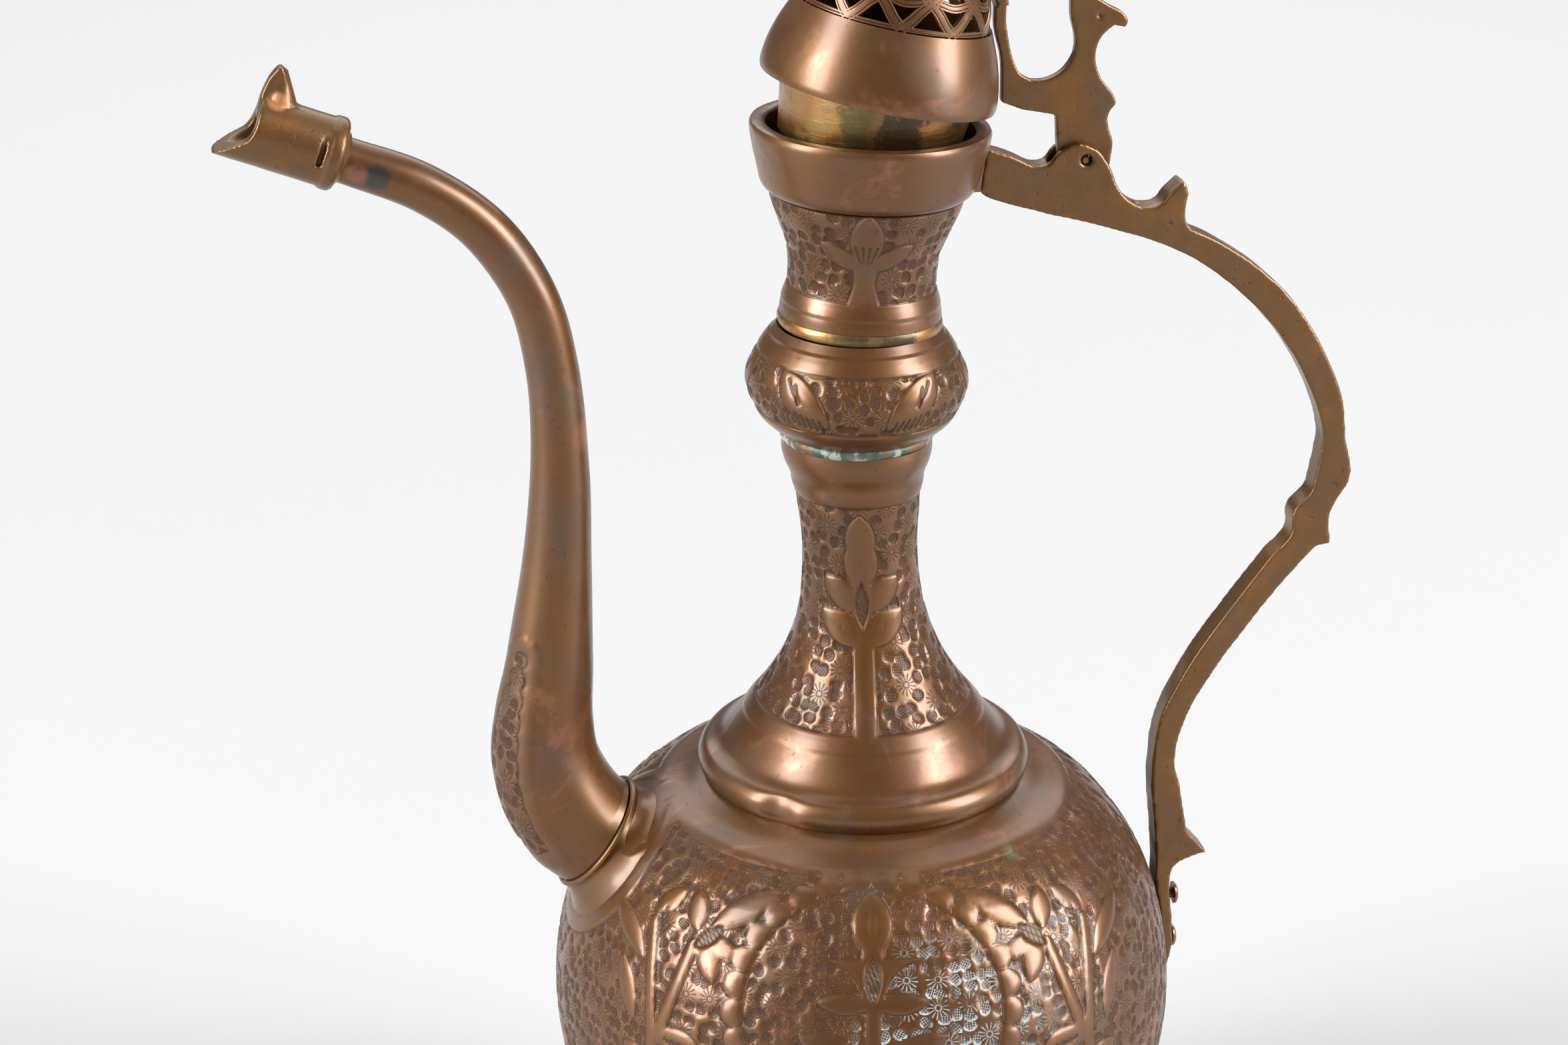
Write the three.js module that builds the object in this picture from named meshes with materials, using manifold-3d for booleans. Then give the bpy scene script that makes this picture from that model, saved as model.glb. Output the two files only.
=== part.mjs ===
// Copper water jug (ewer) with an S-shaped spout, a cast brass handle and a hinged, pierced lid.
// Millimetres, +Z up. Origin: centre of the foot's underside. Spout towards -X, handle towards +X.
import * as THREE from 'three';
import { mergeVertices } from 'three/addons/utils/BufferGeometryUtils.js';
import Module from 'manifold-3d';

const wasm = await Module();
wasm.setup();

// ---- driving dimensions ----
const SHEET = 1.2; // thickness of the hammered copper sheet
const GAP = 0.3; // clearance between pieces that touch
const CUT_MARGIN = 2; // how far a cutter runs past what it cuts
const BODY = { radius: 82, centreZ: 102.5, seamLatitude: -13, shoulderLatitude: 38 };
const FOOT = { rimRadius: 43, topZ: 24.6 };
const SEGMENTS = { body: 26, neck: 22, dome: 18, ring: 18, spout: 12, bore: 16, finial: 12, small: 8 };
const BEND = { fromZ: 175, pivotX: -2.6, pivotZ: 271, topTilt: 0.044 }; // the old neck is slightly bent
const HINGE = { x: 54, z: 325.8, holeRadius: 1.55, pinRadius: 0.9, pinLength: 5.6, pinDrop: 0.3 };
const HANDLE = { thickness: 7.4, slot: 3.5, slotFloorRadius: 8.6 };
const ARM = { thickness: 2.9, pad: 8 };
const LID = { seatX: -0.8, openAngle: THREE.MathUtils.degToRad(9), bandTopZ: 19 };
const RIVET = { radius: 1.5, headRadius: 3, headHeight: 1.2, seat: 1.5, clearance: 0.15 };
const SPOUT_AXIS = new THREE.Vector3(0.79, 0, -0.613).normalize(); // from the spout into the body
const SPOUT_JOINT = new THREE.Vector3(-70.5, 0, 150.2);
const SPOUT_BORE = 13.6;
const HEAD_AXIS = new THREE.Vector3(-0.934, 0, 0.357).normalize(); // outwards along the animal head
const HEAD_START = new THREE.Vector3(-127.6, 0, 334.1);
const HEAD = {
  length: 30, width: 20, barrelRadius: 8.6, barrelRise: 0.7, startU: 0.6,
  collarU: 1.4, collarLength: 2.4, collarRadius: 9.1, hornThickness: 6,
  bore: 4.2, socket: 6, socketDepth: 3.2,
};

// ---- materials ----
const METALS = {
  copper: { color: 0x96644a, roughness: 0.42, metalness: 1 },
  copper_dark: { color: 0x7c5340, roughness: 0.5, metalness: 1 },
  brass: { color: 0x8a6a3c, roughness: 0.4, metalness: 1 },
  cast_brass: { color: 0x785a37, roughness: 0.55, metalness: 1 },
  solder: { color: 0x9a9a84, roughness: 0.6, metalness: 0.8 },
};

function piece(name, geometry, metal) {
  const mesh = new THREE.Mesh(geometry, new THREE.MeshStandardMaterial(METALS[metal]));
  mesh.name = name;
  return mesh;
}

// ---- solids: three.js geometry in, manifold booleans, three.js geometry out ----
function solid(geometry, matrix = new THREE.Matrix4()) {
  const bare = geometry.clone();
  bare.deleteAttribute('normal');
  bare.deleteAttribute('uv');
  bare.applyMatrix4(matrix);
  const merged = mergeVertices(bare, 1e-3);
  const vertProperties = new Float32Array(merged.attributes.position.array);
  const triVerts = new Uint32Array(merged.index.array);
  return new wasm.Manifold(new wasm.Mesh({ numProp: 3, vertProperties, triVerts }));
}

function shape(manifold) {
  const mesh = manifold.getMesh();
  const geometry = new THREE.BufferGeometry();
  geometry.setAttribute('position', new THREE.BufferAttribute(mesh.vertProperties, 3));
  geometry.setIndex(new THREE.BufferAttribute(mesh.triVerts, 1));
  geometry.computeVertexNormals();
  return geometry;
}

const vec2 = (pairs) => pairs.map(([a, b]) => new THREE.Vector2(a, b));
const smooth = (pairs, divisions) => new THREE.SplineCurve(vec2(pairs)).getPoints(divisions);
const move = (x, y, z) => new THREE.Matrix4().makeTranslation(x, y, z);

function arc(radius, centreZ, fromDegrees, toDegrees, divisions) {
  const points = [];
  for (let i = 0; i <= divisions; i++) {
    const angle = THREE.MathUtils.degToRad(fromDegrees + ((toDegrees - fromDegrees) * i) / divisions);
    points.push(new THREE.Vector2(radius * Math.cos(angle), centreZ + radius * Math.sin(angle)));
  }
  return points;
}

// Turns a closed profile of (radius, z) points about the Z axis.
function turned(profile, segments) {
  const points = THREE.ShapeUtils.isClockWise(profile) ? [...profile].reverse() : [...profile];
  const onAxis = points[0].x < 1e-6;
  if (!onAxis) points.push(points[0].clone());
  const geometry = new THREE.LatheGeometry(points, segments);
  geometry.rotateX(Math.PI / 2);
  return geometry;
}

// The inner face of a sheet whose outer face is the given bottom-to-top line of (radius, z) points.
function innerFace(outer, thickness) {
  return outer.map((point, i) => {
    const before = outer[Math.max(i - 1, 0)];
    const after = outer[Math.min(i + 1, outer.length - 1)];
    const along = after.clone().sub(before).normalize();
    const inward = new THREE.Vector2(-along.y, along.x).multiplyScalar(thickness);
    return point.x < 1e-6 ? new THREE.Vector2(0, point.y + thickness) : point.clone().add(inward);
  });
}

function shell(outer, segments, thickness = SHEET) {
  const inner = innerFace(outer, thickness).reverse();
  return turned([...outer, ...inner], segments);
}

// A cylinder about `axis` from `start`, used for rivets, bores and holes.
function rod(radius, length, start, axis, segments = SEGMENTS.small) {
  const geometry = new THREE.CylinderGeometry(radius, radius, length, segments);
  geometry.translate(0, length / 2, 0);
  const turn = new THREE.Quaternion().setFromUnitVectors(new THREE.Vector3(0, 1, 0), axis);
  geometry.applyQuaternion(turn);
  geometry.translate(start.x, start.y, start.z);
  return geometry;
}

// A flat plate in the XZ plane, centred on Y = 0.
function plate(outline, thickness, curveSegments = 2) {
  const options = { depth: thickness, bevelEnabled: false, curveSegments };
  const geometry = new THREE.ExtrudeGeometry(outline, options);
  geometry.rotateX(Math.PI / 2);
  geometry.translate(0, thickness / 2, 0);
  return geometry;
}

// ---- the bend of the neck ----
function leanX(z) {
  const t = THREE.MathUtils.clamp((z - BEND.fromZ) / (BEND.pivotZ - BEND.fromZ), 0, 1);
  return BEND.pivotX * t * t * (3 - 2 * t);
}

function leaning(geometry) {
  const position = geometry.attributes.position;
  for (let i = 0; i < position.count; i++) position.setX(i, position.getX(i) + leanX(position.getZ(i)));
  geometry.computeVertexNormals();
  return geometry;
}

const tiltedNeck = (tilt) =>
  move(BEND.pivotX, 0, BEND.pivotZ)
    .multiply(new THREE.Matrix4().makeRotationY(tilt))
    .multiply(move(0, 0, -BEND.pivotZ));
const halfwayUpNeck = tiltedNeck(BEND.topTilt / 2);
const topOfNeck = tiltedNeck(BEND.topTilt);

// ---- foot ----
const footRimProfile = vec2([[39.6, 0], [42.6, 0], [FOOT.rimRadius, 1.6], [42.6, 3.2], [41.6, 3.8], [39.6, 3.4]]);
const pedestalProfile = smooth([[41, 5.2], [37.6, 7.6], [31.2, 12.5], [28, 18.5], [29, FOOT.topZ]], 6);
const footSolderProfile = vec2([[29.3, 22.6], [30.4, 23.6], [31.6, 25.6], [29.4, 24.9]]);

function makeFoot() {
  const basePlate = new THREE.CylinderGeometry(39.2, 39.2, SHEET, SEGMENTS.body);
  basePlate.rotateX(Math.PI / 2);
  basePlate.translate(0, 0, SHEET / 2);
  return [
    piece('foot_rim', turned(footRimProfile, SEGMENTS.body), 'copper_dark'),
    piece('foot_base_plate', basePlate, 'copper_dark'),
    piece('pedestal_foot', shell(pedestalProfile, SEGMENTS.body), 'copper'),
    piece('foot_solder', turned(footSolderProfile, SEGMENTS.body), 'solder'),
  ];
}

// ---- body ----
const onBody = (from, to, divisions) => arc(BODY.radius, BODY.centreZ, from, to, divisions);
const bowlOuter = onBody(-90, BODY.seamLatitude - 0.2, 8);
const shoulderOuter = [
  ...onBody(BODY.seamLatitude + 0.2, BODY.shoulderLatitude, 6),
  ...vec2([[60.5, 156.8], [54.4, 160.8], [47.5, 163.2], [40.4, 164.4]]),
];
const seamRadius = BODY.radius * Math.cos(THREE.MathUtils.degToRad(BODY.seamLatitude)) - SHEET;
const seamZ = BODY.centreZ + BODY.radius * Math.sin(THREE.MathUtils.degToRad(BODY.seamLatitude));
const TAIL_RIVETS = [117.5, 104.5]; // heights of the two rivets through the handle's tail

function tailRivetStart(z) {
  const radius = Math.sqrt(BODY.radius ** 2 - (z - BODY.centreZ) ** 2);
  return new THREE.Vector3(radius - SHEET - RIVET.headHeight - RIVET.seat, 0, z);
}

const alongX = new THREE.Vector3(1, 0, 0);
const rivetHole = (z) => solid(rod(RIVET.radius + RIVET.clearance, 12, tailRivetStart(z), alongX));

function makeBody() {
  const holeStart = SPOUT_JOINT.clone().addScaledVector(SPOUT_AXIS, -2 * CUT_MARGIN);
  const spoutHole = rod(SPOUT_BORE + GAP, 24, holeStart, SPOUT_AXIS, SEGMENTS.bore);
  let shoulder = solid(shell(shoulderOuter, SEGMENTS.body)).subtract(solid(spoutHole));
  for (const z of TAIL_RIVETS) shoulder = shoulder.subtract(rivetHole(z));
  const stripOuter = vec2([
    [seamRadius - 2.2, seamZ - 5],
    [seamRadius - GAP, seamZ],
    [seamRadius - GAP, seamZ + 5],
  ]);
  return [
    piece('body_bowl', shell(bowlOuter, SEGMENTS.body), 'copper'),
    piece('body_shoulder', shape(shoulder), 'copper'),
    piece('seam_strip', shell(stripOuter, SEGMENTS.body, 0.8), 'solder'),
  ];
}

// ---- neck ----
const trumpetOuter = [
  ...vec2([[42.1, 165], [43, 167.4], [42.3, 170.2], [40.1, 172.1], [38.4, 173.4]]),
  ...smooth([[35.2, 176.8], [28.4, 184.6], [21.2, 195.8], [16.3, 209.5], [14.7, 226], [15.8, 241.5]], 7),
  ...vec2([[16.9, 247], [18.4, 250.8], [19, 253.6], [18.9, 256.2]]),
];
const knopOuter = smooth(
  [[19.6, 258.7], [21.6, 260.4], [25.4, 264.4], [27.6, 271], [26.2, 277.4], [22.6, 282.8], [20.3, 285.8]],
  9,
);
const upperNeckOuter = smooth(
  [[20.2, 288.9], [19.9, 291.2], [18.6, 296.6], [19.1, 305.5], [21.4, 312], [23.6, 317.5], [24.4, 320.2]],
  8,
);
const collarProfile = [
  ...vec2([[25.1, 320.7], [26.3, 322], [27.3, 325.6], [28.5, 330.2], [29.4, 334.6], [29.5, 336.3], [29.1, 337]]),
  ...vec2([[26.1, 337], [25.6, 336.4], [25.6, 334], [26.3, 330], [25.6, 326], [24.6, 323], [23.6, 320.7]]),
];
const BEAD = { width: 1.6, round: 0.3, halfHeight: 0.75 };

function beadProfile(radius, z) {
  const inner = radius - BEAD.width;
  const shoulder = radius - BEAD.round;
  const low = z - BEAD.halfHeight;
  const high = z + BEAD.halfHeight;
  return vec2([[inner, low], [shoulder, low], [radius, z], [shoulder, high], [inner, high]]);
}

function makeNeck() {
  const knop = shell(knopOuter, SEGMENTS.neck).applyMatrix4(halfwayUpNeck);
  const lowerSolder = leaning(turned(beadProfile(20.3, 257.5), SEGMENTS.ring));
  const upperSolder = turned(beadProfile(21.2, 287.3), SEGMENTS.ring).applyMatrix4(topOfNeck);
  return [
    piece('lower_neck', leaning(shell(trumpetOuter, SEGMENTS.neck)), 'copper'),
    piece('lower_neck_solder', lowerSolder, 'solder'),
    piece('neck_knop', knop, 'copper'),
    piece('upper_neck_solder', upperSolder, 'brass'),
    piece('upper_neck', shell(upperNeckOuter, SEGMENTS.neck).applyMatrix4(topOfNeck), 'copper'),
    piece('mouth_collar', turned(collarProfile, SEGMENTS.neck).applyMatrix4(topOfNeck), 'copper'),
  ];
}

// ---- spout ----
// Centre line of the spout from the joint on the body up to the animal head.
const spoutLine = new THREE.CatmullRomCurve3(
  [
    [-70.5, 150.2], [-74.4, 153.3], [-79.9, 161.2], [-83.3, 172], [-83.5, 184], [-81.7, 200],
    [-79.2, 226], [-77.7, 253], [-79.2, 279.7], [-83.6, 297.8], [-94, 314.5], [-108.5, 325.9],
    [-127.6, 334.1],
  ].map(([x, z]) => new THREE.Vector3(x, 0, z)),
  false,
  'centripetal',
);
// Outer radius of the spout against the fraction of its length.
const SPOUT_RADII = [
  [0, 15], [0.07, 14.9], [0.13, 13.6], [0.2, 12], [0.28, 10.5], [0.36, 9],
  [0.45, 7.8], [0.55, 6.8], [0.66, 6.35], [0.8, 6.1], [0.92, 5.7], [1, 5.5],
];

function spoutRadiusAt(t) {
  let i = 1;
  while (i < SPOUT_RADII.length - 1 && SPOUT_RADII[i][0] < t) i++;
  const [fromT, fromRadius] = SPOUT_RADII[i - 1];
  const [toT, toRadius] = SPOUT_RADII[i];
  return THREE.MathUtils.mapLinear(t, fromT, toT, fromRadius, toRadius);
}

function alongSpout(geometry) {
  const position = geometry.attributes.position;
  const across = new THREE.Vector3(0, 1, 0);
  const side = new THREE.Vector3();
  const moved = new THREE.Vector3();
  for (let i = 0; i < position.count; i++) {
    const t = position.getZ(i);
    side.crossVectors(across, spoutLine.getTangentAt(t));
    moved.copy(spoutLine.getPointAt(t)).addScaledVector(side, position.getX(i));
    moved.addScaledVector(across, position.getY(i));
    position.setXYZ(i, moved.x, moved.y, moved.z);
  }
  geometry.computeVertexNormals();
  return geometry;
}

function makeSpoutTube() {
  const steps = 16;
  const first = 0.003;
  const last = 0.998;
  const outer = [];
  for (let i = 0; i <= steps; i++) {
    const t = first + ((last - first) * i) / steps;
    outer.push(new THREE.Vector2(spoutRadiusAt(t), t));
  }
  const inner = outer.map((point) => new THREE.Vector2(point.x - SHEET, point.y)).reverse();
  return alongSpout(turned([...outer, ...inner], SEGMENTS.spout));
}

const spoutFrame = new THREE.Matrix4().makeRotationFromQuaternion(
  new THREE.Quaternion().setFromUnitVectors(new THREE.Vector3(0, 0, 1), SPOUT_AXIS),
);
spoutFrame.setPosition(SPOUT_JOINT);

function makeSocket() {
  const profile = vec2([[SPOUT_BORE, 0.3], [15.4, 0.3], [16, 1.6], [17.6, 3.2], [21, 5.2], [22.4, 8], [SPOUT_BORE, 8]]);
  const keepOut = new THREE.SphereGeometry(BODY.radius + GAP, 48, 32);
  keepOut.rotateX(Math.PI / 2);
  keepOut.translate(0, 0, BODY.centreZ);
  return shape(solid(turned(profile, SEGMENTS.bore).applyMatrix4(spoutFrame)).subtract(solid(keepOut)));
}

function makeJointRing() {
  const profile = vec2([[15.4, -1.1], [16.2, -0.8], [16.5, 0], [15.7, 0.2], [15.4, 0]]);
  return turned(profile, SEGMENTS.ring).applyMatrix4(spoutFrame);
}

// ---- animal head on the spout: u runs out along the head, v upwards across it ----
const headFrame = new THREE.Matrix4().makeBasis(
  HEAD_AXIS,
  new THREE.Vector3(0, -1, 0),
  new THREE.Vector3().crossVectors(HEAD_AXIS, new THREE.Vector3(0, -1, 0)),
);
headFrame.setPosition(HEAD_START);

function makeHead() {
  const barrelStart = new THREE.Vector3(HEAD.startU, 0, HEAD.barrelRise);
  const barrel = rod(HEAD.barrelRadius, HEAD.length, barrelStart, alongX, SEGMENTS.ring);
  const jaw = new THREE.Shape(
    vec2([[0.6, -9], [15, -9], [29.6, -9], [29.6, -7], [22.4, -0.4], [22.6, 9.6], [0.6, 9.6]]),
  );
  const horn = new THREE.Shape();
  horn.moveTo(10.5, 6);
  horn.splineThru(vec2([[12.6, 8.6], [16.4, 10.7], [18.3, 14.4], [20.3, 16.7], [21.9, 14.6], [22.8, 9], [22.4, 4]]));
  const hornPlate = plate(horn, HEAD.hornThickness);
  const collarStart = new THREE.Vector3(HEAD.collarU, 0, HEAD.barrelRise);
  const collar = rod(HEAD.collarRadius, HEAD.collarLength, collarStart, alongX, SEGMENTS.ring);
  const boreStart = new THREE.Vector3(-CUT_MARGIN, 0, 0);
  const bore = rod(HEAD.bore, HEAD.length + 5 * CUT_MARGIN, boreStart, alongX, SEGMENTS.bore);
  const socket = rod(HEAD.socket, HEAD.socketDepth + CUT_MARGIN, boreStart, alongX, SEGMENTS.bore);
  const head = solid(barrel)
    .intersect(solid(plate(jaw, HEAD.width)))
    .add(solid(collar))
    .add(solid(hornPlate))
    .subtract(solid(bore))
    .subtract(solid(socket));
  return shape(head).applyMatrix4(headFrame);
}

function makeSpout() {
  return [
    piece('spout_socket', makeSocket(), 'copper'),
    piece('spout_joint_ring', makeJointRing(), 'brass'),
    piece('spout_tube', makeSpoutTube(), 'copper'),
    piece('spout_head', makeHead(), 'cast_brass'),
  ];
}

// ---- handle ----
function handleOutline() {
  const line = new THREE.Shape();
  line.moveTo(28.9, 329.8);
  line.splineThru(vec2([[36.1, 327.2], [40.6, 325], [44.2, 325], [47.4, 328.4], [52.4, 330], [57.3, 328]]));
  line.splineThru(vec2([[60.2, 323.4], [62.4, 318.3], [65.6, 314.7], [69.3, 312.9], [73.2, 313.2], [75.8, 316.2]]));
  line.lineTo(79.2, 319.2);
  line.splineThru(vec2([[80.4, 316.4], [79.9, 309.9], [81.6, 306.6]]));
  line.splineThru(vec2([[89.4, 302.8], [101.3, 294.4], [110.1, 285.4], [118.5, 272.1], [124.2, 258.7], [126, 247]]));
  line.splineThru(vec2([[127.8, 239.6], [127.2, 235.6], [124.6, 231.4], [122.6, 226.6], [123.4, 219]]));
  line.lineTo(119.4, 218.2);
  line.splineThru(vec2([[112.4, 210.4], [102.4, 197.5], [93.2, 184.3], [86.4, 170.9], [84, 159.5], [85.6, 152.4]]));
  line.splineThru(vec2([[87.4, 142.6], [88.6, 137.4], [91.4, 134.2]]));
  line.lineTo(94.4, 130.9);
  line.splineThru(vec2([[89.4, 129.6], [85.3, 127.2], [84.3, 122], [85.2, 113], [85.8, 103], [84.6, 97]]));
  line.lineTo(82.7, 97.4);
  line.splineThru(vec2([[82.7, 102.5], [82.2, 110], [81.3, 117.5], [80.5, 122], [80.3, 128.7]]));
  line.splineThru(vec2([[79.4, 140], [78, 155], [79.8, 171.6], [85.9, 185.1], [94.4, 198.3], [106.9, 215.5]]));
  line.splineThru(vec2([[112.6, 222], [113, 228.6], [117.3, 233.4], [118.4, 238], [119.8, 248.4]]));
  line.splineThru(vec2([[118.4, 254.8], [112.4, 268.2], [102.9, 281.6], [88.2, 295.1], [74.9, 302.8], [56.1, 309.4]]));
  line.splineThru(vec2([[41.9, 313.2], [29.1, 317.6], [27.4, 318.8]]));
  return line;
}

// The slot between the two ears, in which the lid's tang swings.
function earSlot() {
  const floor = HANDLE.slotFloorRadius;
  const slot = new THREE.Shape();
  slot.moveTo(38, 335);
  slot.lineTo(41.5, 327);
  slot.lineTo(HINGE.x - floor, HINGE.z - 1);
  slot.absarc(HINGE.x, HINGE.z, floor, Math.PI * 1.04, Math.PI * 1.6, false);
  slot.lineTo(68, 311.5);
  slot.lineTo(72, 335);
  return slot;
}

const alongY = new THREE.Vector3(0, 1, 0);
const hingeHole = (depth) =>
  solid(rod(HINGE.holeRadius, depth, new THREE.Vector3(HINGE.x, -depth / 2, HINGE.z), alongY, 18));

function makeHandle() {
  let bar = solid(plate(handleOutline(), HANDLE.thickness))
    .subtract(solid(plate(earSlot(), HANDLE.slot)))
    .subtract(hingeHole(20));
  for (const z of TAIL_RIVETS) bar = bar.subtract(rivetHole(z));
  return shape(bar);
}

// Solder that fills the wedge between the lug and the collar.
function makeLugSolder() {
  const wedge = new THREE.Shape(vec2([[20, 319.4], [27, 319.4], [28.55, 330.4], [24, 330.4]]));
  const collarSolid = new THREE.LatheGeometry(
    vec2([[0, 310], [25.6, 316], [25.8, 320.4], [26.9, 321.8], [27.9, 325.4], [29.1, 330], [30, 334.4], [0, 340]]),
    56,
  );
  collarSolid.rotateX(Math.PI / 2);
  collarSolid.applyMatrix4(topOfNeck);
  return shape(solid(plate(wedge, HANDLE.thickness + 2)).subtract(solid(collarSolid)));
}

function rivet(start, axis, length, name) {
  const shank = solid(rod(RIVET.radius, length, start, axis));
  const innerHead = solid(rod(RIVET.headRadius * 0.8, RIVET.headHeight, start, axis));
  const top = start.clone().addScaledVector(axis, length);
  const cap = turned(
    [...vec2([[0, 0]]), ...vec2([[RIVET.headRadius, 0], [RIVET.headRadius * 0.75, 0.8], [0, RIVET.headHeight]])],
    SEGMENTS.small,
  );
  const turn = new THREE.Quaternion().setFromUnitVectors(new THREE.Vector3(0, 0, 1), axis);
  cap.applyQuaternion(turn);
  cap.translate(top.x, top.y, top.z);
  return piece(name, shape(shank.add(innerHead).add(solid(cap))), 'cast_brass');
}

function makeHandleFittings() {
  const pin = rod(
    HINGE.pinRadius,
    HINGE.pinLength,
    new THREE.Vector3(HINGE.x, -HINGE.pinLength / 2, HINGE.z - HINGE.pinDrop),
    alongY,
    12,
  );
  const rivets = TAIL_RIVETS.map((z, i) => {
    const start = tailRivetStart(z);
    return rivet(start, alongX, 86.3 - start.x, `handle_rivet_${i + 1}`);
  });
  return [piece('handle_lug_solder', makeLugSolder(), 'solder'), piece('hinge_pin', pin, 'brass'), ...rivets];
}

// ---- lid, drawn closed about its own axis with the bottom edge of the band at z = 0 ----
const sleeveProfile = vec2([
  [20.9, -14], [22, -14], [24.2, 0.7], [27.4, 0.7], [27.4, 1.8], [23.1, 1.8],
]);
const bandOuter = smooth([[29.4, 0], [29.4, 2.4], [28.8, 6.4], [27.4, 11.6], [24.4, LID.bandTopZ]], 6);
const domeOuter = smooth(
  [[23.6, 19.4], [22.9, 24], [20.9, 29.5], [17.4, 34.5], [12.8, 38.8], [7.8, 41.8], [2.6, 43]],
  8,
);

const lidPlace = new THREE.Matrix4()
  .makeTranslation(HINGE.x, 0, HINGE.z)
  .multiply(new THREE.Matrix4().makeRotationY(LID.openAngle))
  .multiply(move(-HINGE.x, 0, -HINGE.z))
  .multiply(topOfNeck)
  .multiply(move(LID.seatX, 0, 337 + GAP));

// Rows of pointed windows, from the dome's foot up; `turn` is a shift in shares of the spacing.
const WINDOW_ROWS = [
  { count: 12, z: 23.2, height: 4.2, width: 4.2, turn: 0 },
  { count: 12, z: 28.6, height: 4, width: 3.6, turn: 0.5 },
  { count: 6, z: 34.6, height: 3.4, width: 4.2, turn: 0.5 },
];
const WINDOW_REACH = 30; // from the lid's axis out past the dome's wall

function makeDome() {
  let dome = solid(shell(domeOuter, SEGMENTS.dome));
  for (const { count, z, height, width, turn } of WINDOW_ROWS) {
    const corners = vec2([[-width / 2, -height / 2], [width / 2, -height / 2], [0, height / 2]]);
    for (let i = 0; i < count; i++) {
      const angle = ((i + turn) / count) * Math.PI * 2;
      const shapeOptions = { depth: WINDOW_REACH, bevelEnabled: false };
      const cutter = new THREE.ExtrudeGeometry(new THREE.Shape(corners), shapeOptions);
      cutter.rotateX(Math.PI / 2);
      cutter.scale(1, -1, 1);
      cutter.rotateZ(angle);
      cutter.translate(0, 0, z);
      dome = dome.subtract(solid(flipped(cutter)));
    }
  }
  for (const seat of STRAP_RIVETS) dome = dome.subtract(strapRivetHole(seat));
  return shape(dome);
}

// The same solid after a mirroring, with its faces turned outwards again.
function flipped(geometry) {
  const turnedOver = geometry.clone();
  const position = turnedOver.attributes.position;
  for (let i = 0; i < position.count; i += 3) {
    const a = new THREE.Vector3().fromBufferAttribute(position, i);
    const b = new THREE.Vector3().fromBufferAttribute(position, i + 1);
    position.setXYZ(i, b.x, b.y, b.z);
    position.setXYZ(i + 1, a.x, a.y, a.z);
  }
  return turnedOver;
}

// ---- hinge arm: a flat cast bird that carries the lid's strap and the tang of the hinge ----
const STRAP_REACH = 4.9; // from the dome's surface to just past the strap's outer face
const STRAP_RIVETS = [
  { radius: 20.9, z: 29.5, tilt: 0.53 },
  { radius: 12.8, z: 38.8, tilt: 1 },
]; // seats on the dome, with the angle of its surface normal above the horizontal

function onLid(radius, z) {
  const point = new THREE.Vector3(radius, 0, z).applyMatrix4(lidPlace);
  return new THREE.Vector2(point.x, point.z);
}

const strapInner = [[9, 42.4], [13.4, 40], [18.2, 35.8], [22, 30.4], [24, 24.4], [25.3, 19]];
const strapOuter = [[28, 20.4], [26.8, 25.6], [24.4, 32.2], [20, 38.4], [14.6, 42.8], [9.8, 45]];
const throughLid = (pairs) => pairs.map(([radius, z]) => onLid(radius, z));

function birdOutline() {
  const bird = new THREE.Shape();
  const foot = onLid(31, 1.4);
  bird.moveTo(foot.x, foot.y);
  bird.lineTo(38, 338.7);
  bird.lineTo(46.5, 337);
  bird.lineTo(47.2, 327);
  bird.absarc(HINGE.x, HINGE.z, 6.8, Math.PI * 1.02, Math.PI * 2, false);
  bird.splineThru(vec2([[61.1, 329.6], [60, 333], [59.6, 335.8], [60.3, 337.6]]));
  bird.lineTo(61.7, 339.2);
  bird.splineThru(vec2([[60.9, 341.4], [57.4, 346.2], [56, 351], [57.2, 355.8], [60.4, 358.9]]));
  bird.lineTo(63.2, 358.2);
  bird.splineThru(vec2([[63.9, 359.6], [62.4, 361.9], [59.2, 363.7], [56.6, 365.3], [54, 366.2], [51.8, 366.4]]));
  bird.lineTo(49.8, 369.4);
  bird.splineThru(vec2([[49.4, 365], [49.6, 361], [50.8, 356], [50.4, 351.8], [47.6, 347.8], [43.6, 346], [40, 346]]));
  bird.splineThru([...vec2([[37.2, 347.8]]), ...throughLid([[31.5, 12.4], ...strapOuter])]);
  bird.lineTo(...onLid(9, 42.4).toArray());
  bird.splineThru(throughLid([...strapInner.slice(1), [28.3, 12.4], [30.2, 5.2], [31, 1.4]]));
  return bird;
}

function strapPad() {
  const pad = new THREE.Shape(throughLid([...strapInner.slice(0, 5), ...strapOuter.slice(1)]));
  return plate(pad, ARM.pad);
}

function strapRivetAt(seat) {
  const axis = new THREE.Vector3(Math.cos(seat.tilt), 0, Math.sin(seat.tilt));
  const below = SHEET + RIVET.seat + RIVET.headHeight;
  const start = new THREE.Vector3(seat.radius, 0, seat.z).addScaledVector(axis, -below);
  return { start, axis, length: below + STRAP_REACH };
}

function strapRivetHole(seat) {
  const { start, axis, length } = strapRivetAt(seat);
  return solid(rod(RIVET.radius + RIVET.clearance, length + 4, start, axis));
}

function makeHingeArm() {
  let arm = solid(plate(birdOutline(), ARM.thickness))
    .add(solid(strapPad()))
    .subtract(hingeHole(20));
  for (const seat of STRAP_RIVETS) arm = arm.subtract(strapRivetHole(seat).transform(lidPlace.elements));
  return shape(arm);
}

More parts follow.
